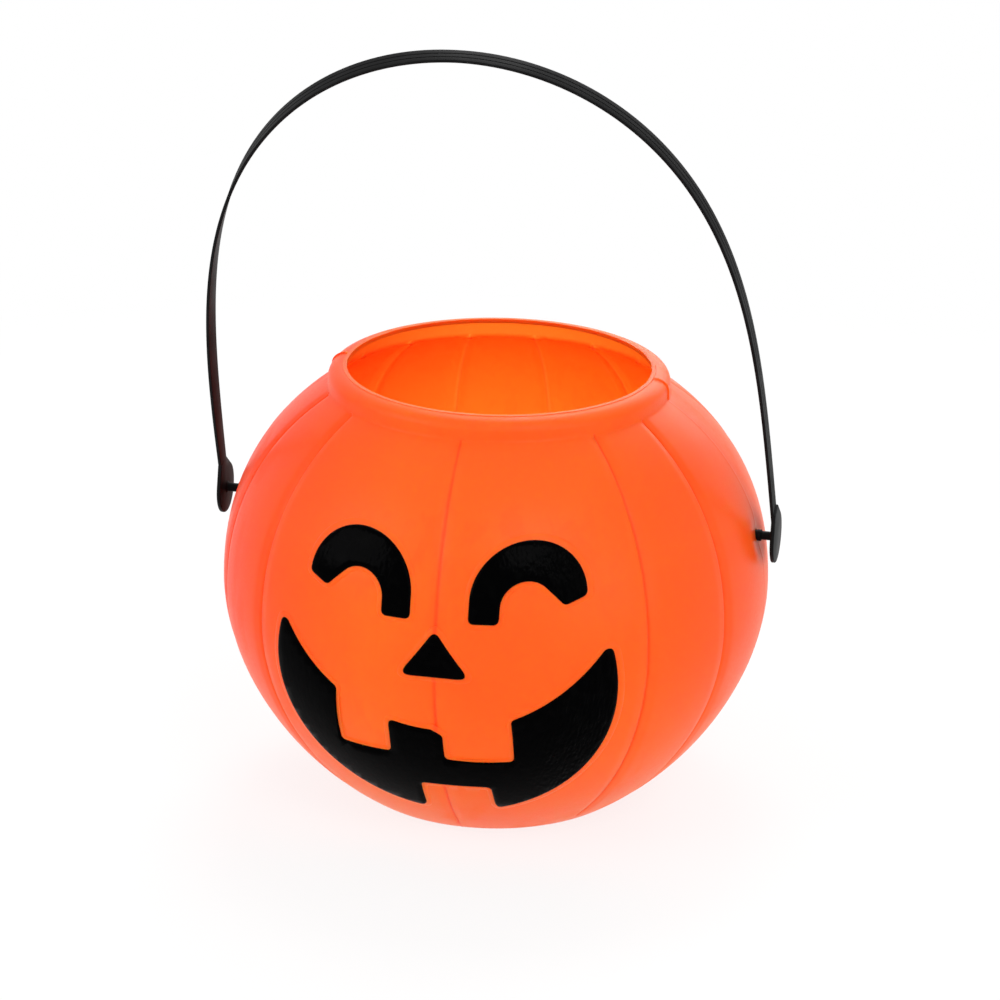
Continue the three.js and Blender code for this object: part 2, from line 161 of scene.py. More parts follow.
def turn_selection(angle: float, axis: str, centre: Vector) -> None:
    """Turns what is selected about a line through a point.

    Args:
        angle: Angle in radians, by the right-hand rule.
        axis: X, Y or Z.
        centre: Point on the line.
    """
    bpy.ops.transform.rotate(value=-angle, orient_axis=axis, center_override=centre)


def rename(obj: Object, name: str) -> None:
    """Names an object and its mesh."""
    obj.name = name
    obj.data.name = name


def copy_of(obj: Object) -> Object:
    """Copies an object with its mesh."""
    take(obj)
    bpy.ops.object.duplicate()
    return bpy.context.object


def chain(name: str, points: Sequence[Vector], closed: bool = False) -> Object:
    """Draws a line of vertices by extruding one vertex from point to point.

    Args:
        name: Name of the new object.
        points: Places of the vertices.
        closed: Whether the last vertex is joined to the first.

    Returns:
        The new object, with no faces.
    """
    deselect_all()
    bpy.ops.mesh.primitive_plane_add(size=MM, location=(0, 0, 0))
    obj = bpy.context.object
    rename(obj, name)
    open_edit(obj)
    pick_all()
    bpy.ops.mesh.merge(type="CENTER")
    pick_all()
    bpy.ops.transform.translate(value=points[0])
    for before, after in zip(points, points[1:]):
        bpy.ops.mesh.extrude_vertices_move(TRANSFORM_OT_translate={"value": after - before})
    if closed:
        ends = (points[0], points[-1])
        pick_vertices(obj, lambda co: min((co - end).length for end in ends) < NEAR / 10)
        bpy.ops.mesh.edge_face_add()
    close_edit()
    return obj


def spun(name: str, points: Sequence[Vector], steps: int, axis: Sequence[float]) -> Object:
    """Spins a line of vertices once round an axis through the origin.

    Args:
        name: Name of the new object.
        points: Places of the line's vertices.
        steps: Number of stretches round the axis.
        axis: Direction of the axis.

    Returns:
        The skin, with its faces outwards.
    """
    skin = chain(name, points)
    open_edit(skin)
    pick_all()
    bpy.ops.mesh.spin(steps=steps, angle=2 * math.pi, center=(0, 0, 0), axis=axis)
    pick_all()
    bpy.ops.mesh.remove_doubles(threshold=WELD)
    bpy.ops.mesh.normals_make_consistent(inside=False)
    close_edit()
    return skin


def apply_modifier(obj: Object, kind: str, **settings: object) -> None:
    """Adds a modifier with its settings and applies it.

    Args:
        obj: The object that is modified.
        kind: Blender's name of the modifier's type.
        **settings: Values of the modifier's properties.
    """
    take(obj)
    modifier = obj.modifiers.new(name=kind.lower(), type=kind)
    for key, value in settings.items():
        setattr(modifier, key, value)
    bpy.ops.object.modifier_apply(modifier=modifier.name)


def delete(obj: Object) -> None:
    """Deletes a helper object."""
    take(obj)
    bpy.ops.object.delete()


def smooth(obj: Object, degrees: float) -> None:
    """Shades an object smooth, with sharp edges past an angle."""
    take(obj)
    bpy.ops.object.shade_smooth_by_angle(angle=math.radians(degrees))


def join(objects: Sequence[Object], name: str) -> Object:
    """Joins objects into the first of them.

    Args:
        objects: Mesh objects.
        name: Name of the result.

    Returns:
        The joined object.
    """
    take(objects[0])
    for obj in objects[1:]:
        obj.select_set(True)
    bpy.ops.object.join()
    joined = bpy.context.object
    rename(joined, name)
    return joined


def settle(
    obj: Object,
    body: Body,
    material: bpy.types.Material,
    stands_for: Sequence[str] = (),
) -> None:
    """Gives a finished piece its material, its body and the solids that it stands for.

    Args:
        obj: The finished piece.
        body: The body that it moves with.
        material: The finish.
        stands_for: Names of the solids that it replaces.
    """
    obj.data.materials.clear()
    obj.data.materials.append(material)
    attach(obj, body.value)
    if stands_for:
        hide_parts(*stands_for)
    LOG.info("%s: %d faces on %s", obj.name, len(obj.data.polygons), body.value)


# Curves and outlines


def bezier(start: Point, corner: Point, end: Point, steps: int) -> list[Point]:
    """Points on a curve that leaves one point towards a corner and ends at another point.

    Args:
        start: First point.
        corner: Point that the curve is drawn towards.
        end: Last point.
        steps: Number of stretches.

    Returns:
        The points, both ends included.
    """
    points = []
    for i in range(steps + 1):
        t = i / steps
        weights = ((1 - t) ** 2, 2 * t * (1 - t), t * t)
        points.append(
            tuple(sum(w * p[k] for w, p in zip(weights, (start, corner, end))) for k in (0, 1))
        )
    return points


def arc(centre: Point, radii: Point, start: float, end: float, steps: int) -> list[Point]:
    """Points on an arc of an ellipse.

    Args:
        centre: Middle of the ellipse.
        radii: Its radii across and up.
        start: First angle in radians.
        end: Last angle in radians.
        steps: Number of stretches.

    Returns:
        The points, both ends included.
    """
    angles = [start + (end - start) * i / steps for i in range(steps + 1)]
    return [(centre[0] + radii[0] * math.cos(a), centre[1] + radii[1] * math.sin(a)) for a in angles]


def lengths_along(points: Sequence[Point]) -> list[float]:
    """Length of a line of points up to each of them."""
    lengths = [0.0]
    for before, after in zip(points, points[1:]):
        lengths.append(lengths[-1] + math.dist(before, after))
    return lengths


def point_at(points: Sequence[Point], lengths: Sequence[float], wanted: float) -> Point:
    """Point at a length along a line of points.

    Args:
        points: The line, with its ends.
        lengths: Length up to each point.
        wanted: Length up to the wanted point.

    Returns:
        The wanted point.
    """
    index = min(len(points) - 1, max(1, bisect_left(lengths, wanted)))
    share = (wanted - lengths[index - 1]) / (lengths[index] - lengths[index - 1])
    before, after = points[index - 1], points[index]
    return tuple(before[k] + (after[k] - before[k]) * share for k in (0, 1))


def spaced_evenly(points: Sequence[Point], spacing: float) -> list[Point]:
    """Points at equal steps along a line of points.

    Args:
        points: The line, with its ends.
        spacing: Wanted step, which is rounded to fit.

    Returns:
        The new points, both ends included.
    """
    lengths = lengths_along(points)
    parts = max(1, round(lengths[-1] / spacing))
    return [point_at(points, lengths, lengths[-1] * part / parts) for part in range(parts + 1)]


def winding(points: Sequence[Point]) -> int:
    """Direction of a closed outline: 1 if it runs counter-clockwise, else -1."""
    doubled = sum(a[0] * b[1] - b[0] * a[1] for a, b in zip(points, [*points[1:], points[0]]))
    return 1 if doubled > 0 else -1


def grown(points: Sequence[Point], distance: float) -> list[Point]:
    """Closed outline moved outwards, with its corners kept.

    Args:
        points: The outline.
        distance: How far its sides move.

    Returns:
        The larger outline.
    """
    way = winding(points)
    moved = []
    for i, point in enumerate(points):
        here = Vector(point)
        arriving = (here - Vector(points[i - 1])).normalized()
        leaving = (Vector(points[(i + 1) % len(points)]) - here).normalized()
        outwards = Vector((arriving.y, -arriving.x)) * way
        middle = (outwards + Vector((leaving.y, -leaving.x)) * way).normalized()
        moved.append(tuple(here + middle * distance / middle.dot(outwards)))
    return moved


def rounded(
    points: Sequence[Point], radius: float, hollow_radius: float, sharp_turn: float = 0.5
) -> list[Point]:
    """Closed outline with each sharp corner replaced by a short round.

    Args:
        points: The outline.
        radius: Radius at the corners that stick out, less where the sides are short.
        hollow_radius: Radius at the corners that go in.
        sharp_turn: Turn in radians that counts as sharp.

    Returns:
        The outline with its rounds.
    """
    way = winding(points)
    cuts: dict[int, float] = {}
    for i, point in enumerate(points):
        arriving = Vector(point) - Vector(points[i - 1])
        leaving = Vector(points[(i + 1) % len(points)]) - Vector(point)
        turn = arriving.angle(leaving)
        if turn > sharp_turn:
            sticks_out = (arriving.x * leaving.y - arriving.y * leaving.x) * way > 0
            cuts[i] = (radius if sticks_out else hollow_radius) * math.tan(turn / 2)
    corners = list(cuts)
    sides = []
    for corner, following in zip(corners, [*corners[1:], corners[0] + len(points)]):
        side = [points[k % len(points)] for k in range(corner, following + 1)]
        lengths = lengths_along(side)
        room = 0.48 * lengths[-1]
        start = min(room, cuts[corner])
        end = lengths[-1] - min(room, cuts[following % len(points)])
        least = 0.1 * MM
        between = [p for p, length in zip(side, lengths) if start + least < length < end - least]
        sides.append([point_at(side, lengths, start), *between, point_at(side, lengths, end)])
    outline: list[Point] = []
    for before, side, corner in zip([sides[-1], *sides], sides, corners):
        outline.extend(bezier(before[-1], points[corner], side[0], 6))
        outline.extend(side[1:-1])
    return outline


# Finishes


@dataclass(frozen=True)
class Pattern:
    """A noise: its features in a metre, finer layers, stretch along each axis and used range."""

    scale: float
    detail: float = 2.0
    stretch: Sequence[float] = (1, 1, 1)
    limits: Point = (0.3, 0.7)


@dataclass
class Nodes:
    """A node tree, with short ways to add and link nodes."""

    tree: bpy.types.NodeTree

    def add(self, kind: str, **settings: object) -> bpy.types.Node:
        """Adds a node.

        Args:
            kind: Blender's name of the node's type.
            **settings: Values of its properties, or of its inputs by name.

        Returns:
            The new node.
        """
        node = self.tree.nodes.new(kind)
        sockets = {socket.name.lower().replace(" ", "_"): socket for socket in node.inputs}
        for key, value in settings.items():
            if key in sockets:
                sockets[key].default_value = value
            else:
                setattr(node, key, value)
        return node

    def link(self, source: Socket, target: Socket) -> None:
        """Links an output to an input."""
        self.tree.links.new(source, target)

    def feed(self, value: Socket | float | Sequence[float], target: Socket) -> None:
        """Links an output to an input, or gives the input a plain value."""
        if isinstance(value, Socket):
            self.link(value, target)
        else:
            target.default_value = value

    def place(self, scale: Sequence[float] = (1, 1, 1)) -> Socket:
        """Object coordinates, stretched.

        Args:
            scale: Factor along each axis.

        Returns:
            The vector output.
        """
        coordinates = self.add("ShaderNodeTexCoord")
        mapping = self.add("ShaderNodeMapping", scale=scale)
        self.link(coordinates.outputs["Object"], mapping.inputs["Vector"])
        return mapping.outputs["Vector"]

    def noise(self, pattern: Pattern) -> Socket:
        """Noise of a pattern on the object's own coordinates."""
        texture = self.add("ShaderNodeTexNoise", scale=pattern.scale, detail=pattern.detail)
        self.link(self.place(pattern.stretch), texture.inputs["Vector"])
        return texture.outputs["Fac"]

    def spots(self, pattern: Pattern, output: Point) -> Socket:
        """Noise of a pattern, mapped from the pattern's limits to an output range.

        Args:
            pattern: The pattern.
            output: The outputs at its limits.

        Returns:
            The mapped value.
        """
        return self.span(self.noise(pattern), pattern.limits, output)

    def span(self, source: Socket, limits: Point, output: Point) -> Socket:
        """Maps a value between limits to an output range, clamped.

        Args:
            source: The value.
            limits: Lowest and highest input.
            output: The outputs at those limits.

        Returns:
            The mapped value.
        """
        mapped = self.add("ShaderNodeMapRange", clamp=True)
        for name, value in zip(("From Min", "From Max", "To Min", "To Max"), (*limits, *output)):
            mapped.inputs[name].default_value = value
        self.link(source, mapped.inputs["Value"])
        return mapped.outputs["Result"]

    def math(self, operation: str, first: Socket, second: Socket | float = 0.0) -> Socket:
        """Arithmetic on a value.

        Args:
            operation: Blender's name of the operation.
            first: The value.
            second: Another value, or a number, where the operation takes two.

        Returns:
            The result.
        """
        node = self.add("ShaderNodeMath", operation=operation)
        self.link(first, node.inputs[0])
        self.feed(second, node.inputs[1])
        return node.outputs[0]

    def vectors(
        self, operation: str, first: Socket, second: Socket | Sequence[float] | None = None
    ) -> Socket:
        """Arithmetic on a vector.

        Args:
            operation: Blender's name of the operation.
            first: The vector.
            second: Another vector, or its values, where the operation takes two.

        Returns:
            The result, which is a number for LENGTH and DOT_PRODUCT.
        """
        node = self.add("ShaderNodeVectorMath", operation=operation)
        self.link(first, node.inputs[0])
        if second is not None:
            self.feed(second, node.inputs[1])
        return node.outputs["Value" if operation in ("LENGTH", "DOT_PRODUCT") else "Vector"]

    def blend(self, share: Socket, first: Socket | Colour, second: Socket | Colour) -> Socket:
        """Mixes two colours, or two depths of light along red, green and blue.

        Args:
            share: Part of the second colour.
            first: Colour at 0.
            second: Colour at 1.

        Returns:
            The mixed colour.
        """
        node = self.add("ShaderNodeMix", data_type="RGBA")
        self.link(share, node.inputs["Factor"])
        for name, colour in (("A", first), ("B", second)):
            target = next(s for s in node.inputs if s.name == name and s.type == "RGBA")
            self.feed(colour if isinstance(colour, Socket) else (*colour, 1), target)
        return next(s for s in node.outputs if s.type == "RGBA")

    def bump(self, height: Socket, distance: float, after: Socket | None = None) -> Socket:
        """Bumps a surface by a height.

        Args:
            height: The height, 0 to 1.
            distance: Height in metres of a value of 1.
            after: Normal of a coarser bump under this one.

        Returns:
            The bumped normal.
        """
        node = self.add("ShaderNodeBump", distance=distance, strength=1.0)
        self.link(height, node.inputs["Height"])
        if after is not None:
            self.link(after, node.inputs["Normal"])
        return node.outputs["Normal"]


@dataclass(frozen=True)
class Finish:
    """A procedural surface finish."""

    name: str
    colour: Colour
    roughness: float
    shine: float

    def material(self) -> bpy.types.Material:
        """Makes the material.

        Returns:
            The material with its node tree.
        """
        material = bpy.data.materials.new(self.name)
        material.use_nodes = True
        material.diffuse_color = (*self.colour, 1)
        nodes = Nodes(material.node_tree)
        shader = next(n for n in material.node_tree.nodes if n.type == "BSDF_PRINCIPLED")
        shader.inputs["Specular IOR Level"].default_value = self.shine
        self.paint(nodes, shader)
        return material

    def paint(self, nodes: Nodes, shader: bpy.types.Node) -> None:
        """Adds the finish's own nodes in front of the shader.

        Args:
            nodes: The material's nodes.
            shader: Its main shader.
        """
        raise NotImplementedError


@dataclass(frozen=True)
class OrangePlastic(Finish):
    """Thin, slightly translucent blown plastic with a soft shine."""

    name: str = "orange_blown_plastic"
    colour: Colour = (1.0, 0.148, 0.010)
    # Deeper tone of the clouds and streaks, also used as painted shade on the flanks, shoulder and
    # creases
    deep_and_shade_colour: Colour = (1.0, 0.045, 0.008)
    # Darker colour on the cut lip: painted shade that tones down the light on its top
    lip_shade_colour: Colour = (1.0, 0.1, 0.008)
    roughness: float = 0.36
    shine: float = 0.12
    outer_depth: Colour = (1.4 * MM, 0.4 * MM, 0.15 * MM)
    inner_depth: Colour = (60 * MM, 8.4 * MM, 6 * MM)
    lip_depth: Colour = (7 * MM, 2 * MM, 1.2 * MM)
    # Painted shade: the deep colour grows towards the left and right flanks and up the shoulder
    left_flank: Point = (-20 * MM, -90 * MM)
    left_shade_share: float = 0.9
    right_flank: Point = (45 * MM, 98 * MM)
    right_shade_share: float = 0.6
    shoulder: Point = (118 * MM, 150 * MM)
    shoulder_shade_share: float = 0.25
    clouds: Pattern = Pattern(11, 3, limits=(0.35, 0.65))
    cloud_share: float = 0.3
    streaks: Pattern = Pattern(160, stretch=(1, 1, 0.03), limits=(0.4, 0.62))
    streak_share: float = 0.2
    scuffs: Pattern = Pattern(55, 6, (1, 1, 0.35), (0.56, 0.72))
    scuff_roughness: float = 0.12
    haze: Pattern = Pattern(900)
    haze_roughness: float = 0.03
    waves: Pattern = Pattern(28, 1, (1, 1, 0.4))
    wave_height: float = 0.35 * MM
    peel: Pattern = Pattern(1400)
    peel_height: float = 0.006 * MM
    inward_turn: Point = (-0.25, -0.05)
    lip_height: float = 161.5 * MM
    lip_radius: float = 56.7 * MM
    lip_thickness: float = 1.5 * MM
    lip_blur: float = 0.1 * MM
    neck_height: float = 153.7 * MM
    crease_count: int = 16
    # Painted shade along the creases
    crease_edge: Point = (0.01, 0.036)
    crease_shade_share: float = 0.6
    eye_room: float = 0.2

    def paint(self, nodes: Nodes, shader: bpy.types.Node) -> None:
        """Cloudy colour, painted shade on the flanks, the shoulder and the creases, a darker cut lip as
        painted shade and light through the wall.
        """
        position = nodes.add("ShaderNodeSeparateXYZ")
        nodes.link(nodes.place(), position.inputs[0])
        up = position.outputs["Z"]
        cut = self.cut_edge(nodes, up)
        # Deep colour from the clouds and streaks and from painted shade on the flanks, shoulder and
        # creases
        base = nodes.blend(self.clouds_and_painted_shade(nodes, position), self.colour, self.deep_and_shade_colour)
        # Painted shade: the cut lip gets the darker colour
        nodes.link(nodes.blend(cut, base, self.lip_shade_colour), shader.inputs["Base Color"])
        scuffs = nodes.spots(self.scuffs, (0, self.scuff_roughness))
        gloss = (self.roughness - self.haze_roughness, self.roughness + self.haze_roughness)
        nodes.link(nodes.math("ADD", nodes.spots(self.haze, gloss), scuffs), shader.inputs["Roughness"])
        waves = nodes.bump(nodes.noise(self.waves), self.wave_height)
        peel = nodes.bump(nodes.noise(self.peel), self.peel_height, waves)
        nodes.link(peel, shader.inputs["Normal"])
        shader.inputs["Subsurface Weight"].default_value = 1.0
        shader.inputs["Subsurface Scale"].default_value = 1.0
        depth = nodes.blend(self.faces_inwards(nodes), self.outer_depth, self.inner_depth)
        nodes.link(nodes.blend(cut, depth, self.lip_depth), shader.inputs["Subsurface Radius"])

    def clouds_and_painted_shade(self, nodes: Nodes, position: bpy.types.Node) -> Socket:
        """Share of the deep colour: clouds and upright streaks, and painted shade on the flanks, the
        shoulder and the creases.

        Args:
            nodes: The material's nodes.
            position: Node that gives the place along each axis.

        Returns:
            The share's output.
        """
        clouds = nodes.spots(self.clouds, (0, self.cloud_share))
        streaks = nodes.spots(self.streaks, (0, self.streak_share))
        spots = nodes.math("MAXIMUM", clouds, streaks)
        # Painted shade, deeper towards the left and right flanks and up the shoulder
        left = nodes.span(position.outputs["X"], self.left_flank, (0, self.left_shade_share))
        right = nodes.span(position.outputs["X"], self.right_flank, (0, self.right_shade_share))
        top = nodes.span(position.outputs["Z"], self.shoulder, (0, self.shoulder_shade_share))
        flanks = nodes.math("ADD", nodes.math("MAXIMUM", left, right), top)
        clouds_and_shade = nodes.math("MAXIMUM", spots, flanks)
        return nodes.math("MAXIMUM", clouds_and_shade, self.creases(nodes, position))

    def creases(self, nodes: Nodes, position: bpy.types.Node) -> Socket:
        """Share of the deep colour along the creases, up to the neck, as painted shade in the creases.

        Args:
            nodes: The material's nodes.
            position: Node that gives the place along each axis.

        Returns:
            The share's output.
        """
        forward = nodes.math("MULTIPLY", position.outputs["Y"], -1.0)
        turn = nodes.math("ARCTAN2", position.outputs["X"], forward)
        number = nodes.math("MULTIPLY", turn, self.crease_count / (2 * math.pi))
        nearest = nodes.math("ROUND", number)
        aside = nodes.math("ABSOLUTE", nodes.math("SUBTRACT", number, nearest))
        # Painted shade in the creases
        line = nodes.span(aside, self.crease_edge, (self.crease_shade_share, 0))
        from_eye = nodes.math("SUBTRACT", nodes.math("ABSOLUTE", number), 1.0)
        beside_eye = nodes.math("GREATER_THAN", nodes.math("ABSOLUTE", from_eye), self.eye_room)
        below_neck = nodes.math("LESS_THAN", position.outputs["Z"], self.neck_height)
        return nodes.math("MULTIPLY", line, nodes.math("MULTIPLY", beside_eye, below_neck))

    def cut_edge(self, nodes: Nodes, up: Socket) -> Socket:
        """Value of 1 on the cut lip.

        Args:
            nodes: The material's nodes.
            up: Height.

        Returns:
            The value's output.
        """
        across = nodes.vectors("LENGTH", self.flat_place(nodes))
        foot = self.lip_height - self.lip_thickness
        high = nodes.span(up, (foot - self.lip_blur, foot + self.lip_blur), (0, 1))
        edge = (self.lip_radius - self.lip_blur, self.lip_radius + self.lip_blur)
        return nodes.math("MULTIPLY", high, nodes.span(across, edge, (1, 0)))

    @staticmethod
    def flat_place(nodes: Nodes) -> Socket:
        """Place without its height."""
        return nodes.vectors("MULTIPLY", nodes.place(), (1, 1, 0))

    def faces_inwards(self, nodes: Nodes) -> Socket:
        """Value of 1 on the inside of the wall, which glows with the light from outside.

        Args:
            nodes: The material's nodes.

        Returns:
            The value's output.
        """
        normal = nodes.add("ShaderNodeTexCoord").outputs["Normal"]
        outwards = nodes.vectors("NORMALIZE", self.flat_place(nodes))
        return nodes.span(nodes.vectors("DOT_PRODUCT", outwards, normal), self.inward_turn, (1, 0))


@dataclass(frozen=True)
class WornBlack(Finish):
    """Black with slightly lighter worn spots, an uneven gloss and a fine grain."""

    worn_colour: Colour
    worn: Pattern
    smears: Pattern
    gloss_range: Point
    grain: Pattern
    grain_height: float

    def paint(self, nodes: Nodes, shader: bpy.types.Node) -> None:
        """Two shades of black, an uneven gloss and a fine grain."""
        worn = nodes.spots(self.worn, (0, 1))
        nodes.link(nodes.blend(worn, self.colour, self.worn_colour), shader.inputs["Base Color"])
        limits = tuple(self.roughness + change for change in self.gloss_range)
        nodes.link(nodes.spots(self.smears, limits), shader.inputs["Roughness"])
        grain = nodes.bump(nodes.noise(self.grain), self.grain_height, self.coarse_bump(nodes))
        nodes.link(grain, shader.inputs["Normal"])

    def coarse_bump(self, nodes: Nodes) -> Socket | None:
        """Bump under the grain, where the finish has one."""
        return None


@dataclass(frozen=True)
class BlackPaint(WornBlack):
    """Glossy black paint with upright ripples where it ran."""

    name: str = "black_gloss_paint"
    colour: Colour = (0.0002, 0.0002, 0.0003)
    roughness: float = 0.12
    shine: float = 0.01
    worn_colour: Colour = (0.0008, 0.0008, 0.0009)
    worn: Pattern = Pattern(240, 5, limits=(0.5, 0.7))
    smears: Pattern = Pattern(70, 3)
    gloss_range: Point = (-0.04, 0.06)
    grain: Pattern = Pattern(1800)
    grain_height: float = 0.004 * MM
    ripples: Pattern = Pattern(900, stretch=(1, 1, 0.14))
    ripple_start: Point = (28 * MM, 42 * MM)
    ripple_share: Point = (0.2, 1)
    ripple_height: float = 0.5 * MM

    def coarse_bump(self, nodes: Nodes) -> Socket:
        """Upright ripples, which grow towards the right."""
        position = nodes.add("ShaderNodeSeparateXYZ")
        nodes.link(nodes.place(), position.inputs[0])
        late = nodes.span(position.outputs["X"], self.ripple_start, self.ripple_share)
        ripples = nodes.math("MULTIPLY", nodes.noise(self.ripples), late)
        return nodes.bump(ripples, self.ripple_height)


@dataclass(frozen=True)
class StrapPlastic(WornBlack):
    """Satin black moulded plastic with a fine grain."""

    name: str = "black_satin_plastic"
    colour: Colour = (0.0025, 0.0025, 0.0028)
    roughness: float = 0.5
    shine: float = 0.08
    worn_colour: Colour = (0.006, 0.006, 0.0066)
    worn: Pattern = Pattern(130, 4, limits=(0.48, 0.7))
    smears: Pattern = Pattern(45, 3)
    gloss_range: Point = (-0.06, 0.08)
    grain: Pattern = Pattern(700)
    grain_height: float = 0.003 * MM


# Bucket


@dataclass(frozen=True)
class WallShape:
    """Outside of the bucket, as a radius at each height."""

    widest_radius: float
    widest_height: float = 81 * MM
    belly_power: float = 1.83
    shoulder_power: float = 2.17
    foot_radius: float = 49 * MM
    foot_round: float = 1.6 * MM
    foot_ring_width: float = 9 * MM
    push_up: float = 2.5 * MM
    push_up_slope: float = 4 * MM
    neck_radius: float = 62 * MM
    neck_height: float = 153.7 * MM
    neck_fillet: float = 0.9 * MM
    collar_upright: float = 3.4 * MM
    collar_roll_height: float = 4.4 * MM
    collar_roll_in: float = 5.3 * MM
    lip_step: float = 0.25 * MM
    thickness: float = 1.5 * MM

    @property
    def lip_height(self) -> float:
        """Height of the cut lip."""
        return self.neck_height + self.collar_upright + self.collar_roll_height

    @property
    def lip_radius(self) -> float:
        """Radius at which the collar is level."""
        return self.neck_radius - self.collar_roll_in

    def radius_at(self, height: float) -> float:
        """Radius of the plain wall.

        Args:
            height: Height between the foot and the neck.

        Returns:
            The radius there.
        """
        above = height >= self.widest_height
        power = self.shoulder_power if above else self.belly_power
        end_height = self.neck_height if above else 0.0
        end_radius = self.neck_radius if above else self.foot_radius
        reach = abs(end_height - self.widest_height) / (
            1 - (end_radius / self.widest_radius) ** power
        ) ** (1 / power)
        share = min(1.0, abs(height - self.widest_height) / reach)
        return self.widest_radius * (1 - share**power) ** (1 / power)

    def depth_of(self, place: Vector) -> float:
        """Depth of a place under the plain wall, square to the wall."""
        probe = 0.2 * MM
        height = min(max(place.z, self.foot_round + probe), self.neck_height - probe)
        slope = (self.radius_at(height + probe) - self.radius_at(height - probe)) / (2 * probe)
        return (self.radius_at(height) - math.hypot(place.x, place.y)) / math.hypot(1, slope)

    def wall_points(self, low: float, high: float, spacing: float) -> list[Point]:
        """Points up the plain wall between two heights, evenly spaced.

        Args:
            low: Lower height.
            high: Upper height.
            spacing: Wanted step along the wall.

        Returns:
            Radius and height of each point.
        """
        samples = 400
        heights = [low + (high - low) * i / samples for i in range(samples + 1)]
        return spaced_evenly([(self.radius_at(h), h) for h in heights], spacing)

    def foot_points(self, spacing: float) -> list[Point]:
        """Points from the middle of the underside to the start of the wall.

        Args:
            spacing: Wanted step over the raised middle.

        Returns:
            Radius and height of each point.
        """
        ring_outer = self.foot_radius - self.foot_round
        ring_inner = ring_outer - self.foot_ring_width
        rise_start = (ring_inner - self.push_up_slope, self.push_up)
        middle = spaced_evenly([(0.0, self.push_up), rise_start], spacing)
        corner = (self.foot_radius, 0.0)
        wall_start = (self.radius_at(self.foot_round), self.foot_round)
        return [*middle, (ring_inner, 0.0), *bezier((ring_outer, 0.0), corner, wall_start, 5)[:-1]]

    def collar_points(self) -> list[Point]:
        """Points from the neck over the rolled collar to the inner edge of the lip."""
        roll_start = self.lip_height - self.collar_roll_height
        centre = (self.lip_radius, roll_start)
        radii = (self.collar_roll_in, self.collar_roll_height - self.lip_step)
        upright = (self.neck_radius, self.neck_height + self.collar_upright / 2)
        step_top = (self.lip_radius - self.lip_step / 2, self.lip_height)
        land = (self.lip_radius - self.thickness, self.lip_height)
        return [upright, *arc(centre, radii, 0, math.pi / 2, 10), step_top, land]

    def profile(self, spacing: float) -> list[Point]:
        """Outside of the bucket from the middle of the underside to the lip.

        Args:
            spacing: Wanted step along the wall.

        Returns:
            Radius and height of each point.
        """
        wall = self.wall_points(self.foot_round, self.neck_height, spacing)
        before_neck = self.wall_points(self.foot_round, self.neck_height, self.neck_fillet)[-2]
        after_neck = (self.neck_radius, self.neck_height + self.neck_fillet)
        fillet = bezier(before_neck, (self.neck_radius, self.neck_height), after_neck, 4)
        return [*self.foot_points(5 * MM), *wall[:-1], *fillet, *self.collar_points()]


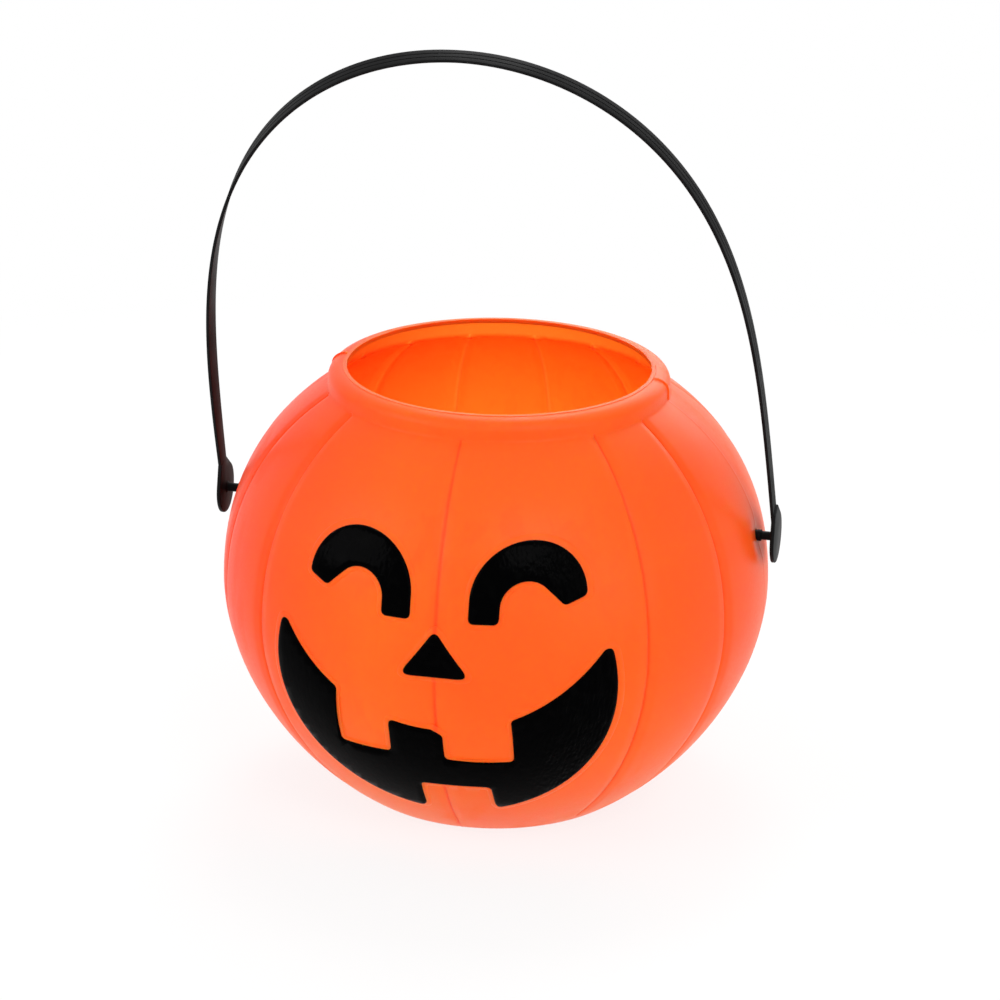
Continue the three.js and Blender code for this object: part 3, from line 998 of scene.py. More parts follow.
@dataclass
class Bucket:
    """The blown bucket: wall, foot, collar, creases, pivot dimples and parting line."""

    shape: WallShape
    hinge_height: float
    columns: int = 384
    ring_spacing: float = 2.8 * MM
    crease_count: int = 16
    crease_steps: tuple[float, ...] = (0.12 * MM, 0.34 * MM, 0.12 * MM)
    crease_fade: float = 9 * MM
    crease_top_gap: float = 0.3 * MM
    groove_width: float = 1.7 * MM
    groove_depth: float = 0.45 * MM
    groove_overrun: float = 0.2 * MM
    column_slack: float = 0.1
    outer_share: float = 0.7
    dimple_radius: float = 10 * MM
    dimple_depth: float = 1 * MM
    dimple_core: float = 2 * MM
    hole_radius: float = 2.3 * MM
    hole_sides: int = 40
    seam_width: float = 0.5 * MM
    seam_height: float = 0.06 * MM
    flash_width: float = 1.2 * MM
    flash_height: float = 0.6 * MM
    skin_slack: float = 0.4 * MM
    roll_share: float = 0.85
    smooth_angle: float = 38.0

    def column_of(self, place: Vector) -> int:
        """Number of the column of vertices that a place lies in, counted from the face."""
        turn = math.atan2(place.x, -place.y) / (2 * math.pi)
        return round(turn * self.columns) % self.columns

    def crease_columns(self) -> list[int]:
        """Columns of the creases: none under the eyes and none on the parting line."""
        apart = self.columns // self.crease_count
        quarter = self.crease_count // 4
        left_out = (1, quarter, self.crease_count - quarter, self.crease_count - 1)
        return [i * apart for i in range(self.crease_count) if i not in left_out]

    def spin_wall(self) -> Object:
        """Spins the profile into the outside skin.

        Returns:
            The skin, open at the mouth, with its faces outwards.
        """
        profile = self.shape.profile(self.ring_spacing)
        points = [Vector((radius, 0, height)) for radius, height in profile]
        return spun("bucket", points, self.columns, (0, 0, 1))

    def press_creases(self, wall: Object) -> None:
        """Presses the creases in, widest first, each fading out above the foot."""
        open_edit(wall)
        columns = self.crease_columns()
        end = self.shape.neck_height - self.crease_top_gap
        fades = 4
        for reach, depth in enumerate(self.crease_steps):
            sides = range(-reach, reach + 1)
            near = {(column + side) % self.columns for column in columns for side in sides}
            for step in range(fades):
                start = self.shape.foot_round + self.crease_fade * (step + 1) / fades
                pick_vertices(wall, lambda co: start < co.z < end and self.column_of(co) in near)
                fatten(-depth / fades)
        close_edit()

    def cut_grooves(self, wall: Object) -> None:
        """Cuts a crisp line along the bottom of each crease, on the outside only."""
        columns = self.crease_columns()
        low = self.shape.foot_round + self.crease_fade / 2
        high = self.shape.neck_height + self.groove_overrun

        def on_line(place: Vector) -> bool:
            """Whether a place lies on the bottom line of a crease, on the outer skin."""
            if not low < place.z < high or self.column_of(place) not in columns:
                return False
            turn = math.atan2(place.x, -place.y) / (2 * math.pi) * self.columns
            if abs(turn - round(turn)) > self.column_slack:
                return False
            return self.shape.depth_of(place) < self.outer_share * self.shape.thickness

        open_edit(wall, "EDGE")
        pick_edges(wall, lambda first, second: on_line(first) and on_line(second))
        bpy.ops.mesh.bevel(offset=self.groove_width / 2, segments=2, affect="EDGES")
        bpy.ops.mesh.select_mode(type="VERT")
        pick_vertices(wall, on_line)
        fatten(-self.groove_depth)
        close_edit()

    def press_dimples(self, wall: Object) -> None:
        """Presses a shallow dimple in round each pivot."""
        open_edit(wall)
        for side in (-1, 1):
            middle = Vector((side * self.shape.radius_at(self.hinge_height), 0, self.hinge_height))
            pick_vertices(wall, lambda co: (co - middle).length < self.dimple_core)
            bpy.ops.transform.translate(
                value=(-side * self.dimple_depth, 0, 0),
                use_proportional_edit=True,
                proportional_edit_falloff="SMOOTH",
                proportional_size=self.dimple_radius,
            )
        close_edit()

    def raise_seam(self, wall: Object) -> None:
        """Raises the thin parting line that the two mould halves leave."""
        shape = self.shape
        roll_start = shape.lip_height - shape.collar_roll_height

        def on_wall(place: Vector) -> bool:
            """Whether a place lies on the outside of the wall, between the mould halves."""
            if abs(place.y) > NEAR or not shape.foot_round < place.z < shape.neck_height:
                return False
            return shape.depth_of(place) < self.dimple_depth + self.skin_slack

        def on_collar(place: Vector) -> bool:
            """Whether a place lies on the outside of the collar, between the mould halves."""
            if abs(place.y) > NEAR or not shape.neck_height <= place.z < shape.lip_height:
                return False
            across = (abs(place.x) - shape.lip_radius) / shape.collar_roll_in
            up = max(0.0, place.z - roll_start) / shape.collar_roll_height
            return across > 0 and math.hypot(across, up) > self.roll_share

        ridges = (
            (on_wall, self.seam_width, self.seam_height),
            (on_collar, self.flash_width, self.flash_height),
        )
        for on_seam, width, height in ridges:
            open_edit(wall, "EDGE")
            pick_edges(wall, lambda first, second: on_seam(first) and on_seam(second))
            bpy.ops.mesh.bevel(offset=width / 2, segments=2, affect="EDGES")
            bpy.ops.mesh.select_mode(type="VERT")
            pick_vertices(wall, on_seam)
            fatten(height)
            close_edit()

    def drill(self, wall: Object) -> None:
        """Drills the two holes for the studs."""
        deselect_all()
        bpy.ops.mesh.primitive_cylinder_add(
            vertices=self.hole_sides,
            radius=self.hole_radius,
            depth=2.4 * self.shape.widest_radius,
            location=(0, 0, self.hinge_height),
            rotation=(0, math.pi / 2, 0),
        )
        drill = bpy.context.object
        apply_modifier(wall, "BOOLEAN", operation="DIFFERENCE", object=drill, solver="EXACT")
        delete(drill)

    def raise_beds(self, wall: Object, beds: Sequence[Object]) -> None:
        """Joins the raised beds of the face to the wall.

        Args:
            wall: The wall.
            beds: Closed bodies, one under each painted part.
        """
        joined = join(beds, "beds")
        apply_modifier(wall, "BOOLEAN", operation="UNION", object=joined, solver="EXACT")
        delete(joined)

    def build(self, beds: Sequence[Object]) -> Object:
        """Models the bucket.

        Args:
            beds: The raised beds of the face.

        Returns:
            The bucket as one closed wall.
        """
        wall = self.spin_wall()
        self.press_creases(wall)
        self.press_dimples(wall)
        apply_modifier(
            wall,
            "SOLIDIFY",
            thickness=self.shape.thickness,
            offset=-1,
            use_even_offset=True,
            use_quality_normals=True,
        )
        self.cut_grooves(wall)
        self.raise_seam(wall)
        self.raise_beds(wall, beds)
        self.drill(wall)
        smooth(wall, self.smooth_angle)
        return wall

    def dress(self, wall: Object, finish: Finish) -> None:
        """Finishes the bucket in its plastic."""
        settle(wall, Body.BUCKET, finish.material(), ("bucket_shell",))


# Face


class FacePart(Enum):
    """Parts of the face, by the names of their solids."""

    LEFT_EYE = "left_eye"
    RIGHT_EYE = "right_eye"
    NOSE = "nose"
    MOUTH = "mouth"


@dataclass(frozen=True)
class FaceDrawing:
    """Outlines of the face, drawn in the front view as places across and up."""

    widest_height: float
    corner_round: float = 2.2 * MM
    bed_corner: float = 0.8 * MM
    eye_line: float = 1.1 * MM
    eye_offset: float = 29.8 * MM
    eye_above_widest: float = 26.6 * MM
    eye_radius: float = 19.5 * MM
    eye_hollow_radius: float = 8.9 * MM
    eye_hollow_drop: float = 2.3 * MM
    eye_leg_length: float = 8.1 * MM
    eye_tip_reach: float = 12.6 * MM
    eye_tip_drop: float = 2 * MM
    eye_tip_rise: float = math.radians(3)
    nose_half_width: float = 12.7 * MM
    nose_below_widest: float = 1.7 * MM
    nose_length: float = 17.2 * MM
    mouth_below_widest: float = 6 * MM
    mouth_half_width: float = 61.3 * MM
    mouth_depth: float = 57.3 * MM
    mouth_tip_rise: float = math.radians(14)
    mouth_tip_width: float = 2.3 * MM
    grin_sag: float = 17 * MM
    small_tooth: tuple[float, float, float] = (-37 * MM, 19.6 * MM, 12.5 * MM)
    big_tooth: tuple[float, float, float] = (2.3 * MM, 24.2 * MM, 13.2 * MM)
    lower_tooth: tuple[float, float, float] = (-8.1 * MM, 25.1 * MM, 14.3 * MM)
    gap_chamfer_width: float = 4.1 * MM
    gap_chamfer_drop: float = 2.4 * MM

    def eye(self, side: int) -> list[Point]:
        """Arch-shaped eye with its long leg beside the nose; side is -1 on the left."""
        height = self.widest_height + self.eye_above_widest
        foot = height - self.eye_leg_length
        outer = arc((0, height), (self.eye_radius,) * 2, math.pi, self.eye_tip_rise, 44)
        hollow_radii = (self.eye_hollow_radius,) * 2
        hollow = arc((0, height - self.eye_hollow_drop), hollow_radii, math.pi / 4, math.pi, 20)
        tip = (self.eye_tip_reach, height - self.eye_tip_drop)
        points = [(-self.eye_radius, foot), *outer, tip, *hollow, (-self.eye_hollow_radius, foot)]
        return [(self.eye_line + side * (self.eye_offset + across), up) for across, up in points]

    def nose(self) -> list[Point]:
        """Triangular nose."""
        base = self.widest_height - self.nose_below_widest
        half = self.nose_half_width
        return [(-half, base), (half, base), (0, base + self.nose_length)]

    def mouth(self) -> list[Point]:
        """Grin: an ellipse below, a flatter arc above, two upper teeth and a lower one."""
        height = self.widest_height - self.mouth_below_widest
        half, depth, rise = self.mouth_half_width, self.mouth_depth, self.mouth_tip_rise
        lowest = height - self.grin_sag
        tip = half * math.cos(rise) - self.mouth_tip_width
        grin_rise = self.grin_sag + depth * math.sin(rise)
        grin_radius = (tip**2 + grin_rise**2) / (2 * grin_rise)

        def chin(start: float, end: float) -> list[Point]:
            """Stretch of the lower ellipse between two angles."""
            return arc((0, height), (half, depth), start, end, 40)

        def chin_angle(across: float) -> float:
            """Angle at which the lower ellipse crosses a place."""
            return 2 * math.pi - math.acos(across / half)

        def grin(start: float, end: float, steps: int) -> list[Point]:
            """Stretch of the upper arc between two places across."""
            angles = [math.asin(across / grin_radius) - math.pi / 2 for across in (start, end)]
            return arc((0, lowest + grin_radius), (grin_radius,) * 2, *angles, steps)

        small_left, small_width, small_length = self.small_tooth
        big_left, big_width, big_length = self.big_tooth
        low_left, low_width, low_length = self.lower_tooth
        gap_top = grin(big_left - self.gap_chamfer_width, small_left + small_width, 6)
        return [
            *chin(math.pi - rise, chin_angle(low_left)),
            (low_left, height - depth + low_length),
            (low_left + low_width, height - depth + low_length),
            *chin(chin_angle(low_left + low_width), 2 * math.pi + rise),
            *grin(tip, big_left + big_width, 18),
            (big_left + big_width, lowest - big_length),
            (big_left, lowest - big_length),
            (big_left, gap_top[0][1] - self.gap_chamfer_drop),
            *gap_top,
            (small_left + small_width, lowest - small_length),
            (small_left, lowest - small_length),
            *grin(small_left, -tip, 14),
        ]

    def outline(self, part: FacePart, reach: float = 0.0) -> list[Point]:
        """Outline of one part with its corners rounded.

        Args:
            part: The part of the face.
            reach: How far the outline lies outside the painted part.

        Returns:
            The closed outline, clockwise or counter-clockwise.
        """
        drawn = {
            FacePart.LEFT_EYE: lambda: self.eye(-1),
            FacePart.RIGHT_EYE: lambda: self.eye(1),
            FacePart.NOSE: self.nose,
            FacePart.MOUTH: self.mouth,
        }
        hollow = self.bed_corner if reach else self.corner_round
        return rounded(grown(drawn[part](), reach), self.corner_round + reach, hollow)


class Layer(Enum):
    """Surfaces that the sheets of the face are laid on."""

    PAINT_RIM = "paint_rim"
    BED_RIM = "bed_rim"
    SUNK = "sunk"


@dataclass(frozen=True)
class Relief:
    """How a raised sheet rises from its rim: its reach, its height and the steps of its rim."""

    reach: float
    crown: float
    rim_steps: tuple[tuple[float, float], ...]


@dataclass
class Face:
    """The raised and painted face."""

    shape: WallShape
    drawing: FaceDrawing
    grid: float = 3 * MM
    former_columns: int = 360
    stand_off: float = 30 * MM
    smooth_angle: float = 50.0
    paint_side: float = 0.5 * MM
    bed_rim: float = 0.2 * MM
    sunk: float = 1.1 * MM
    paint: Relief = Relief(0.0, 0.85 * MM, ((0.12 * MM, 0.34), (0.26 * MM, 0.72), (0.5 * MM, 1.0)))
    bed: Relief = Relief(2 * MM, 0.68 * MM, ((0.25 * MM, 0.5), (0.35 * MM, 0.78), (0.55 * MM, 1.0)))

    def formers(self) -> dict[Layer, Object]:
        """Makes the smooth bodies that the sheets are laid on.

        Returns:
            The helper object of each layer.
        """
        points = self.shape.wall_points(self.shape.foot_round, self.shape.neck_height, self.grid)
        line = [Vector((radius, 0, height)) for radius, height in points]
        plain = spun("former", line, self.former_columns, (0, 0, 1))
        distances = {
            Layer.PAINT_RIM: self.paint_side,
            Layer.BED_RIM: -self.bed_rim,
            Layer.SUNK: -self.sunk,
        }
        formers = {}
        for layer, distance in distances.items():
            formers[layer] = copy_of(plain)
            open_edit(formers[layer])
            pick_all()
            fatten(distance)
            close_edit()
        delete(plain)
        return formers

    def flat_sheet(self, part: FacePart, relief: Relief) -> Object:
        """Flat sheet in front of the bucket, with rings of faces along its rim and a grid inside.

        Args:
            part: The part of the face.
            relief: How the sheet will rise from its rim.

        Returns:
            The sheet, whose vertex group crown is 0 on the rim and 1 inside.
        """
        front = -self.shape.widest_radius - self.stand_off
        drawn = self.drawing.outline(part, relief.reach)
        outline = [Vector((across, front, up)) for across, up in drawn]
        sheet = chain(part.value, outline, closed=True)
        sheet.vertex_groups.new(name="crown")
        sheet.vertex_groups.new(name="field")
        tools = bpy.context.scene.tool_settings
        open_edit(sheet)
        pick_all()
        bpy.ops.mesh.edge_face_add()
        if bmesh.from_edit_mesh(sheet.data).faces[0].normal.y > 0:
            bpy.ops.mesh.flip_normals()
        for width, weight in relief.rim_steps:
            bpy.ops.mesh.inset(thickness=width, use_even_offset=True)
            sheet.vertex_groups.active_index = 0
            tools.vertex_group_weight = weight
            bpy.ops.object.vertex_group_assign()
        sheet.vertex_groups.active_index = 1
        tools.vertex_group_weight = 1.0
        bpy.ops.object.vertex_group_assign()
        low = Vector(min(p[k] for p in outline) for k in range(3))
        high = Vector(max(p[k] for p in outline) for k in range(3))
        for axis in (0, 2):
            normal = Vector((1, 0, 0)) if axis == 0 else Vector((0, 0, 1))
            cuts = int((high[axis] - low[axis]) / self.grid)
            for cut in range(1, cuts + 1):
                place = low + normal * (high[axis] - low[axis]) * cut / (cuts + 1)
                bpy.ops.mesh.select_all(action="DESELECT")
                bpy.ops.object.vertex_group_select()
                bpy.ops.mesh.bisect(plane_co=place, plane_no=normal)
        close_edit()
        return sheet

    def lay(self, sheet: Object, former: Object) -> None:
        """Lays a sheet on a former, straight back from the front view.

        Args:
            sheet: The sheet.
            former: The body that it is laid on.
        """
        apply_modifier(
            sheet,
            "SHRINKWRAP",
            target=former,
            wrap_method="PROJECT",
            use_project_y=True,
            use_positive_direction=True,
            use_negative_direction=False,
        )

    def raised(self, part: FacePart, relief: Relief, rim: Object, foot: Object) -> Object:
        """Models one raised part.

        Args:
            part: The part of the face.
            relief: How it rises from its rim.
            rim: Former that its rim is laid on.
            foot: Former that its sunk foot is laid on.

        Returns:
            The part as one closed body, with its foot sunk into the wall.
        """
        top = self.flat_sheet(part, relief)
        bottom = copy_of(top)
        self.lay(top, rim)
        self.lay(bottom, foot)
        apply_modifier(top, "DISPLACE", vertex_group="crown", strength=relief.crown, mid_level=0.0)
        open_edit(bottom)
        pick_all()
        bpy.ops.mesh.flip_normals()
        close_edit()
        body = join([top, bottom], part.value + "_paint")
        body.vertex_groups.clear()
        open_edit(body, "EDGE")
        bpy.ops.mesh.select_non_manifold(
            extend=False, use_wire=False, use_multi_face=False, use_non_contiguous=False, use_verts=False
        )
        bpy.ops.mesh.bridge_edge_loops()
        close_edit()
        smooth(body, self.smooth_angle)
        return body

    def build_beds(self, formers: dict[Layer, Object]) -> list[Object]:
        """Models the raised beds, which become part of the wall."""
        rim, foot = formers[Layer.BED_RIM], formers[Layer.SUNK]
        return [self.raised(part, self.bed, rim, foot) for part in FacePart]

    def build(self, formers: dict[Layer, Object]) -> dict[FacePart, Object]:
        """Models all painted parts of the face."""
        rim, foot = formers[Layer.PAINT_RIM], formers[Layer.SUNK]
        return {part: self.raised(part, self.paint, rim, foot) for part in FacePart}

    def dress(self, parts: dict[FacePart, Object], finish: Finish) -> None:
        """Paints all parts of the face."""
        material = finish.material()
        for part, body in parts.items():
            settle(body, Body.BUCKET, material, (part.value,))


# Handle


@dataclass
class Handle:
    """The strap handle: one moulding with its strap, two pads and two snap-in studs."""

    shape: WallShape
    hinge_height: float
    dimple_depth: float
    pad_wall_gap: float = 3.4 * MM
    pad_thickness: float = 1.5 * MM
    pad_radius: float = 9.5 * MM
    pad_flank_height: float = 12.5 * MM
    pad_edge: float = 0.35 * MM
    pad_sides: int = 56
    strap_width: float = 6.3 * MM
    strap_thickness: float = 1.2 * MM
    strap_round: float = 0.28 * MM
    groove_places: tuple[float, ...] = (-1.1 * MM, 0.9 * MM)
    groove_width: float = 0.5 * MM
    groove_depth: float = 0.18 * MM
    arch_height: float = 199.5 * MM
    arch_power: float = 3.87
    arch_taper: float = 0.09
    left_bow: float = 2.5 * MM
    left_twist: float = math.radians(10)
    tilt: float = math.radians(20)
    links: int = 180
    stud_radius: float = 1.9 * MM
    neck_radius: float = 1.6 * MM
    shoulder_radius: float = 2.1 * MM
    shoulder_length: float = 1.6 * MM
    shoulder_gap: float = 0.3 * MM
    snap_radius: float = 3.6 * MM
    snap_tip_radius: float = 1.6 * MM
    snap_length: float = 4 * MM
    snap_play: float = 0.6 * MM
    snap_edge: float = 0.4 * MM
    root_radius: float = 2.4 * MM
    root_length: float = 0.6 * MM
    soft_edge: float = 0.2 * MM
    stud_sides: int = 32
    smooth_angle: float = 32.0

    @property
    def pad_inner(self) -> float:
        """Distance of the pads' inner faces from the middle."""
        nearest = self.hinge_height - self.pad_radius
        return self.shape.radius_at(max(self.shape.widest_height, nearest)) + self.pad_wall_gap

    @property
    def half_span(self) -> float:
        """Distance of the strap's middle line from the middle at the hinge."""
        return self.pad_inner + self.pad_thickness / 2

    def arch(self) -> list[Point]:
        """Middle line of the strap in its own plane, from the left pad to the right pad."""
        samples = 400
        right = []
        for i in range(samples + 1):
            rise = math.sin(math.pi / 2 * i / samples)
            reach = self.half_span * (1 - self.arch_taper * rise)
            right.append((reach * math.sqrt(1 - rise**self.arch_power), self.arch_height * rise))
        bow = [self.left_bow * math.sin(math.pi * up / self.arch_height) for _, up in right]
        left = [(-across - b, up) for (across, up), b in zip(right, bow)]
        length = sum(math.dist(p, q) for p, q in zip(left, left[1:])) * 2
        return spaced_evenly([*left, *reversed(right[:-1])], length / self.links)

    def section(self) -> list[Point]:
        """Section of the strap: places out of the arch and across the strap, from one edge round."""
        out, across = self.strap_thickness / 2, self.strap_width / 2
        r, deep, half = self.strap_round, self.groove_depth, self.groove_width / 2
        corners = [(out, across), (-out, across), (-out, -across), (out, -across)]
        outline: list[Point] = []
        for i, corner in enumerate(corners):
            before = Vector(corners[i - 1]) - Vector(corner)
            after = Vector(corners[(i + 1) % 4]) - Vector(corner)
            start = Vector(corner) + before.normalized() * r
            end = Vector(corner) + after.normalized() * r
            outline.extend(bezier(tuple(start), corner, tuple(end), 3))
        for place in self.groove_places:
            outline.extend([(out, place - half), (out - deep, place - half / 2)])
            outline.extend([(out - deep, place + half / 2), (out, place + half)])
        return outline

    def strap(self) -> Object:
        """Extrudes the section along the arch, link by link.

        Returns:
            The strap, upright, with the hinge line through the origin.
        """
        path = self.arch()
        section = self.section()
        start = Vector((path[0][0], 0, path[0][1]))
        outline = [start + Vector((-out, across, 0)) for out, across in section]
        strap = chain("strap", outline, closed=True)
        open_edit(strap)
        pick_all()
        bpy.ops.mesh.edge_face_add()
        count = len(path)
        heading = 0.0
        turned = 0.0
        for i in range(1, count):
            step = Vector((path[i][0] - path[i - 1][0], 0, path[i][1] - path[i - 1][1]))
            ahead = path[min(count - 1, i + 1)]
            along = Vector((ahead[0] - path[i - 1][0], 0, ahead[1] - path[i - 1][1])).normalized()
            centre = Vector((path[i][0], 0, path[i][1]))
            bpy.ops.mesh.extrude_region_move(TRANSFORM_OT_translate={"value": step})
            wanted = math.atan2(along.x, along.z)
            twist = -self.left_twist * math.sin(2 * math.pi * min(1.0, 2 * i / (count - 1)))
            turn_selection(-heading, "Y", centre)
            turn_selection(twist - turned, "Z", centre)
            turn_selection(wanted, "Y", centre)
            heading, turned = wanted, twist
        pick_all()
        bpy.ops.mesh.normals_make_consistent(inside=False)
        close_edit()
        return strap

    def pad_outline(self) -> list[Point]:
        """Outline of a pad: a disc round the hinge line, with straight flanks up to the strap."""
        flank = Vector((self.strap_width / 2, self.pad_flank_height))
        start = math.atan2(flank.y, flank.x) - math.acos(self.pad_radius / flank.length)
        disc = arc((0, 0), (self.pad_radius,) * 2, start, -math.pi - start, self.pad_sides)
        return [*disc, (-flank.x, flank.y), (flank.x, flank.y)]

    def pad(self) -> Object:
        """Thin pad on the right-hand side, with soft edges.

        Returns:
            The pad, with the hinge line through the origin.
        """
        inner, outer = self.pad_inner, self.pad_inner + self.pad_thickness
        pad = chain("pad", [Vector((inner, *point)) for point in self.pad_outline()], closed=True)
        open_edit(pad, "FACE")
        pick_all()
        bpy.ops.mesh.edge_face_add()
        bpy.ops.mesh.extrude_region_move(TRANSFORM_OT_translate={"value": (self.pad_thickness, 0, 0)})
        pick_all()
        bpy.ops.mesh.normals_make_consistent(inside=False)
        bpy.ops.mesh.select_mode(type="EDGE")
        for place in (inner, outer):
            pick_edges(pad, lambda a, b: max(abs(a.x - place), abs(b.x - place)) < NEAR)
            bpy.ops.mesh.bevel(offset=self.pad_edge, segments=3, affect="EDGES")
        close_edit()
        return pad

    def stud(self) -> Object:
        """Stud from the pad through the wall, with a shoulder, a neck and a snap head.

        Returns:
            The stud on the right-hand side, with the hinge line through the origin.
        """
        dimpled = self.shape.radius_at(self.hinge_height) - self.dimple_depth
        above = self.shape.radius_at(self.hinge_height + self.snap_radius) - self.dimple_depth
        head = above - self.shape.thickness - self.snap_play
        shoulder = dimpled + self.shoulder_gap
        top = shoulder + self.shoulder_length
        edge = self.soft_edge
        profile = [
            (0.0, head - self.snap_length),
            (self.snap_tip_radius, head - self.snap_length),
            (self.snap_radius, head - self.snap_edge),
            (self.snap_radius, head),
            (self.stud_radius, head),
            (self.stud_radius, shoulder),
            (self.shoulder_radius - edge, shoulder),
            (self.shoulder_radius, shoulder + edge),
            (self.shoulder_radius, top - edge),
            (self.shoulder_radius - edge, top),
            (self.neck_radius, top + edge / 2),
            (self.neck_radius, self.pad_inner - self.root_length),
            (self.root_radius, self.pad_inner + edge / 2),
            (self.root_radius, self.half_span),
            (0.0, self.half_span),
        ]
        points = [Vector((along, 0, radius)) for radius, along in profile]
        return spun("stud", points, self.stud_sides, (1, 0, 0))

    def mirrored(self, piece: Object) -> Object:
        """Copy of a piece turned half round the upright axis, for the left-hand side.

        Args:
            piece: A piece on the right-hand side.

        Returns:
            The copy.
        """
        copy = copy_of(piece)
        copy.rotation_euler = (0, 0, math.pi)
        bpy.ops.object.transform_apply(location=True, rotation=True, scale=True)
        return copy

    def build(self) -> Object:
        """Models the handle and tilts it to where it rests.

        Returns:
            The handle as one closed body.
        """
        strap = self.strap()
        for side_piece in (self.pad(), self.stud()):
            for piece in (side_piece, self.mirrored(side_piece)):
                apply_modifier(strap, "BOOLEAN", operation="UNION", object=piece, solver="EXACT")
                delete(piece)
        take(strap)
        rename(strap, "handle")
        strap.rotation_euler = (self.tilt, 0, 0)
        strap.location = (0, 0, self.hinge_height)
        bpy.ops.object.transform_apply(location=True, rotation=True, scale=True)
        smooth(strap, self.smooth_angle)
        return strap

    def dress(self, handle: Object, finish: Finish) -> None:
        """Finishes the handle in its plastic."""
        settle(handle, Body.HANDLE, finish.material(), ("handle_strap",))


# Studio


@dataclass(frozen=True)
class Lamp:
    """A soft lamp that looks at the middle of the bucket."""

    name: str
    place: tuple[float, float, float]
    size: float
    power: float


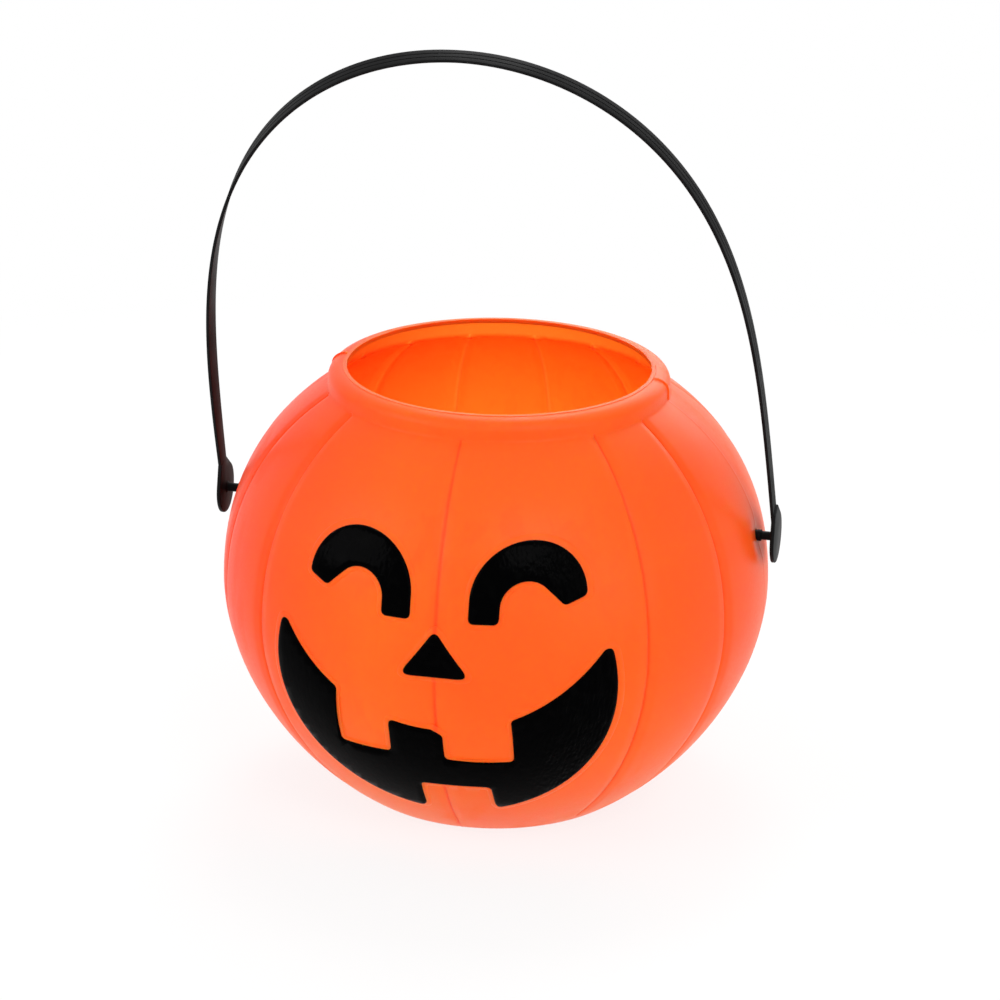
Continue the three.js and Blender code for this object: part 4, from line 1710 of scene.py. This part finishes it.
@dataclass
class Studio:
    """Floor, backdrop, lamps and camera."""

    camera_place: Vector = field(default_factory=lambda: Vector((0.3162, -1.4700, 0.6574)))
    camera_aim: Vector = field(default_factory=lambda: Vector((0.0, 0.0, 0.08)))
    aim_pixel: Point = (495.935, 575.647)
    focal_pixels: float = 4374.42
    roll: float = math.radians(0.952)
    picture_side: int = 1000
    sensor: float = 36.0
    floor_side: float = 12.0
    floor_colour: tuple[float, float, float, float] = (0.93, 0.93, 0.93, 1.0)
    lit_radius: Point = (0.22, 0.6)
    floor_glow: float = 0.82
    world_fill: float = 0.68
    lamps: tuple[Lamp, ...] = (
        Lamp("key", (1.0, -1.6, 1.6), 1.0, 13),
        Lamp("side", (1.7, -1.1, 0.45), 1.0, 5),
        Lamp("fill", (-1.7, -1.3, 1.1), 1.2, 14),
        Lamp("top", (-0.2, 1.2, 2.1), 0.8, 14),
        Lamp("back", (0.3, 2.0, 1.2), 1.6, 18),
    )

    def camera(self) -> None:
        """Makes the camera, which looks through the middle of the picture without any shift."""
        forward = (self.camera_aim - self.camera_place).normalized()
        level = Vector((-forward.y, forward.x, 0)).normalized() * -1
        upward = level.cross(forward)
        cosine, sine = math.cos(self.roll), math.sin(self.roll)
        right = level * cosine + upward * sine
        up = upward * cosine - level * sine
        middle = self.picture_side / 2
        aside = middle - self.aim_pixel[0]
        below = self.aim_pixel[1] - middle
        forward = (forward * self.focal_pixels + right * aside + up * below).normalized()
        right = (right - forward * right.dot(forward)).normalized()
        up = right.cross(forward)
        deselect_all()
        bpy.ops.object.camera_add(location=self.camera_place)
        camera = bpy.context.object
        camera.rotation_euler = Matrix((right, up, -forward)).transposed().to_euler()
        camera.data.sensor_width = self.sensor
        camera.data.lens = self.focal_pixels * self.sensor / self.picture_side
        camera.data.clip_start = 0.05
        camera.data.clip_end = 60
        bpy.context.scene.camera = camera

    def light(self) -> None:
        """Makes the lamps and the even light of the world, which shows white to the camera."""
        for lamp in self.lamps:
            deselect_all()
            bpy.ops.object.light_add(type="AREA", location=lamp.place)
            light = bpy.context.object
            light.name = lamp.name
            light.data.size = lamp.size
            light.data.energy = lamp.power
            towards = self.camera_aim - light.location
            light.rotation_euler = towards.to_track_quat("-Z", "Y").to_euler()
        world = bpy.data.worlds.new("studio")
        world.use_nodes = True
        bpy.context.scene.world = world
        world.node_tree.nodes.clear()
        nodes = Nodes(world.node_tree)
        lit = nodes.add("ShaderNodeBackground", color=WHITE, strength=self.world_fill)
        seen = nodes.add("ShaderNodeBackground", color=WHITE, strength=1.0)
        output = nodes.add("ShaderNodeOutputWorld")
        self.mix_into(nodes, output, self.seen_directly(nodes), (lit, seen))

    @staticmethod
    def mix_into(
        nodes: Nodes,
        output: bpy.types.Node,
        share: Socket,
        shaders: tuple[bpy.types.Node, bpy.types.Node],
    ) -> None:
        """Mixes two shaders and links the mixture to the output's surface.

        Args:
            nodes: The node tree.
            output: Its output node.
            share: Part of the second shader.
            shaders: The two shaders.
        """
        mix = nodes.add("ShaderNodeMixShader")
        nodes.link(share, mix.inputs[0])
        for socket, shader in zip(mix.inputs[1:], shaders):
            nodes.link(shader.outputs[0], socket)
        nodes.link(mix.outputs[0], output.inputs["Surface"])

    @staticmethod
    def seen_directly(nodes: Nodes) -> Socket:
        """Value of 1 for camera, glossy and transmission rays.

        Args:
            nodes: The node tree that the value is for.

        Returns:
            The value's output.
        """
        path = nodes.add("ShaderNodeLightPath")
        either = nodes.math("MAXIMUM", path.outputs["Is Camera Ray"], path.outputs["Is Glossy Ray"])
        return nodes.math("MAXIMUM", either, path.outputs["Is Transmission Ray"])

    def floor(self) -> None:
        """Makes the pale floor, lit near the basket and plain white far from it."""
        deselect_all()
        bpy.ops.mesh.primitive_plane_add(size=self.floor_side, location=(0, 0, 0))
        floor = bpy.context.object
        floor.name = "floor"
        material = bpy.data.materials.new("pale_floor")
        material.use_nodes = True
        material.node_tree.nodes.clear()
        nodes = Nodes(material.node_tree)
        matt = nodes.add("ShaderNodeBsdfDiffuse", color=self.floor_colour)
        glow = nodes.add("ShaderNodeEmission", color=WHITE, strength=1.0)
        distance = nodes.vectors("LENGTH", nodes.place())
        far = nodes.span(distance, self.lit_radius, (self.floor_glow, 1))
        unseen = nodes.math("MULTIPLY", self.seen_directly(nodes), 1 - self.floor_glow)
        share = nodes.math("MULTIPLY", far, nodes.math("ADD", unseen, self.floor_glow))
        output = nodes.add("ShaderNodeOutputMaterial")
        self.mix_into(nodes, output, share, (matt, glow))
        floor.data.materials.append(material)

    def build(self) -> None:
        """Makes the whole studio."""
        self.camera()
        self.light()
        self.floor()
        bpy.context.scene.view_settings.view_transform = "Standard"


def main() -> None:
    """Builds and dresses every sub-assembly."""
    logging.basicConfig(level=logging.INFO, format="%(name)s: %(message)s")
    hinge = frame["record"]["behaviour"]["joints"][0]["pos_m"][2]
    shape = WallShape(widest_radius=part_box("bucket_shell")[1].x)
    Studio().build()
    face = Face(shape, FaceDrawing(shape.widest_height))
    formers = face.formers()
    bucket = Bucket(shape, hinge)
    wall = bucket.build(face.build_beds(formers))
    plastic = OrangePlastic(
        lip_height=shape.lip_height,
        lip_radius=shape.lip_radius,
        lip_thickness=shape.thickness,
        neck_height=shape.neck_height,
        crease_count=bucket.crease_count,
    )
    bucket.dress(wall, plastic)
    face.dress(face.build(formers), BlackPaint())
    for former in formers.values():
        delete(former)
    handle = Handle(shape, hinge, bucket.dimple_depth)
    handle.dress(handle.build(), StrapPlastic())


if __name__ == "__main__":
    main()
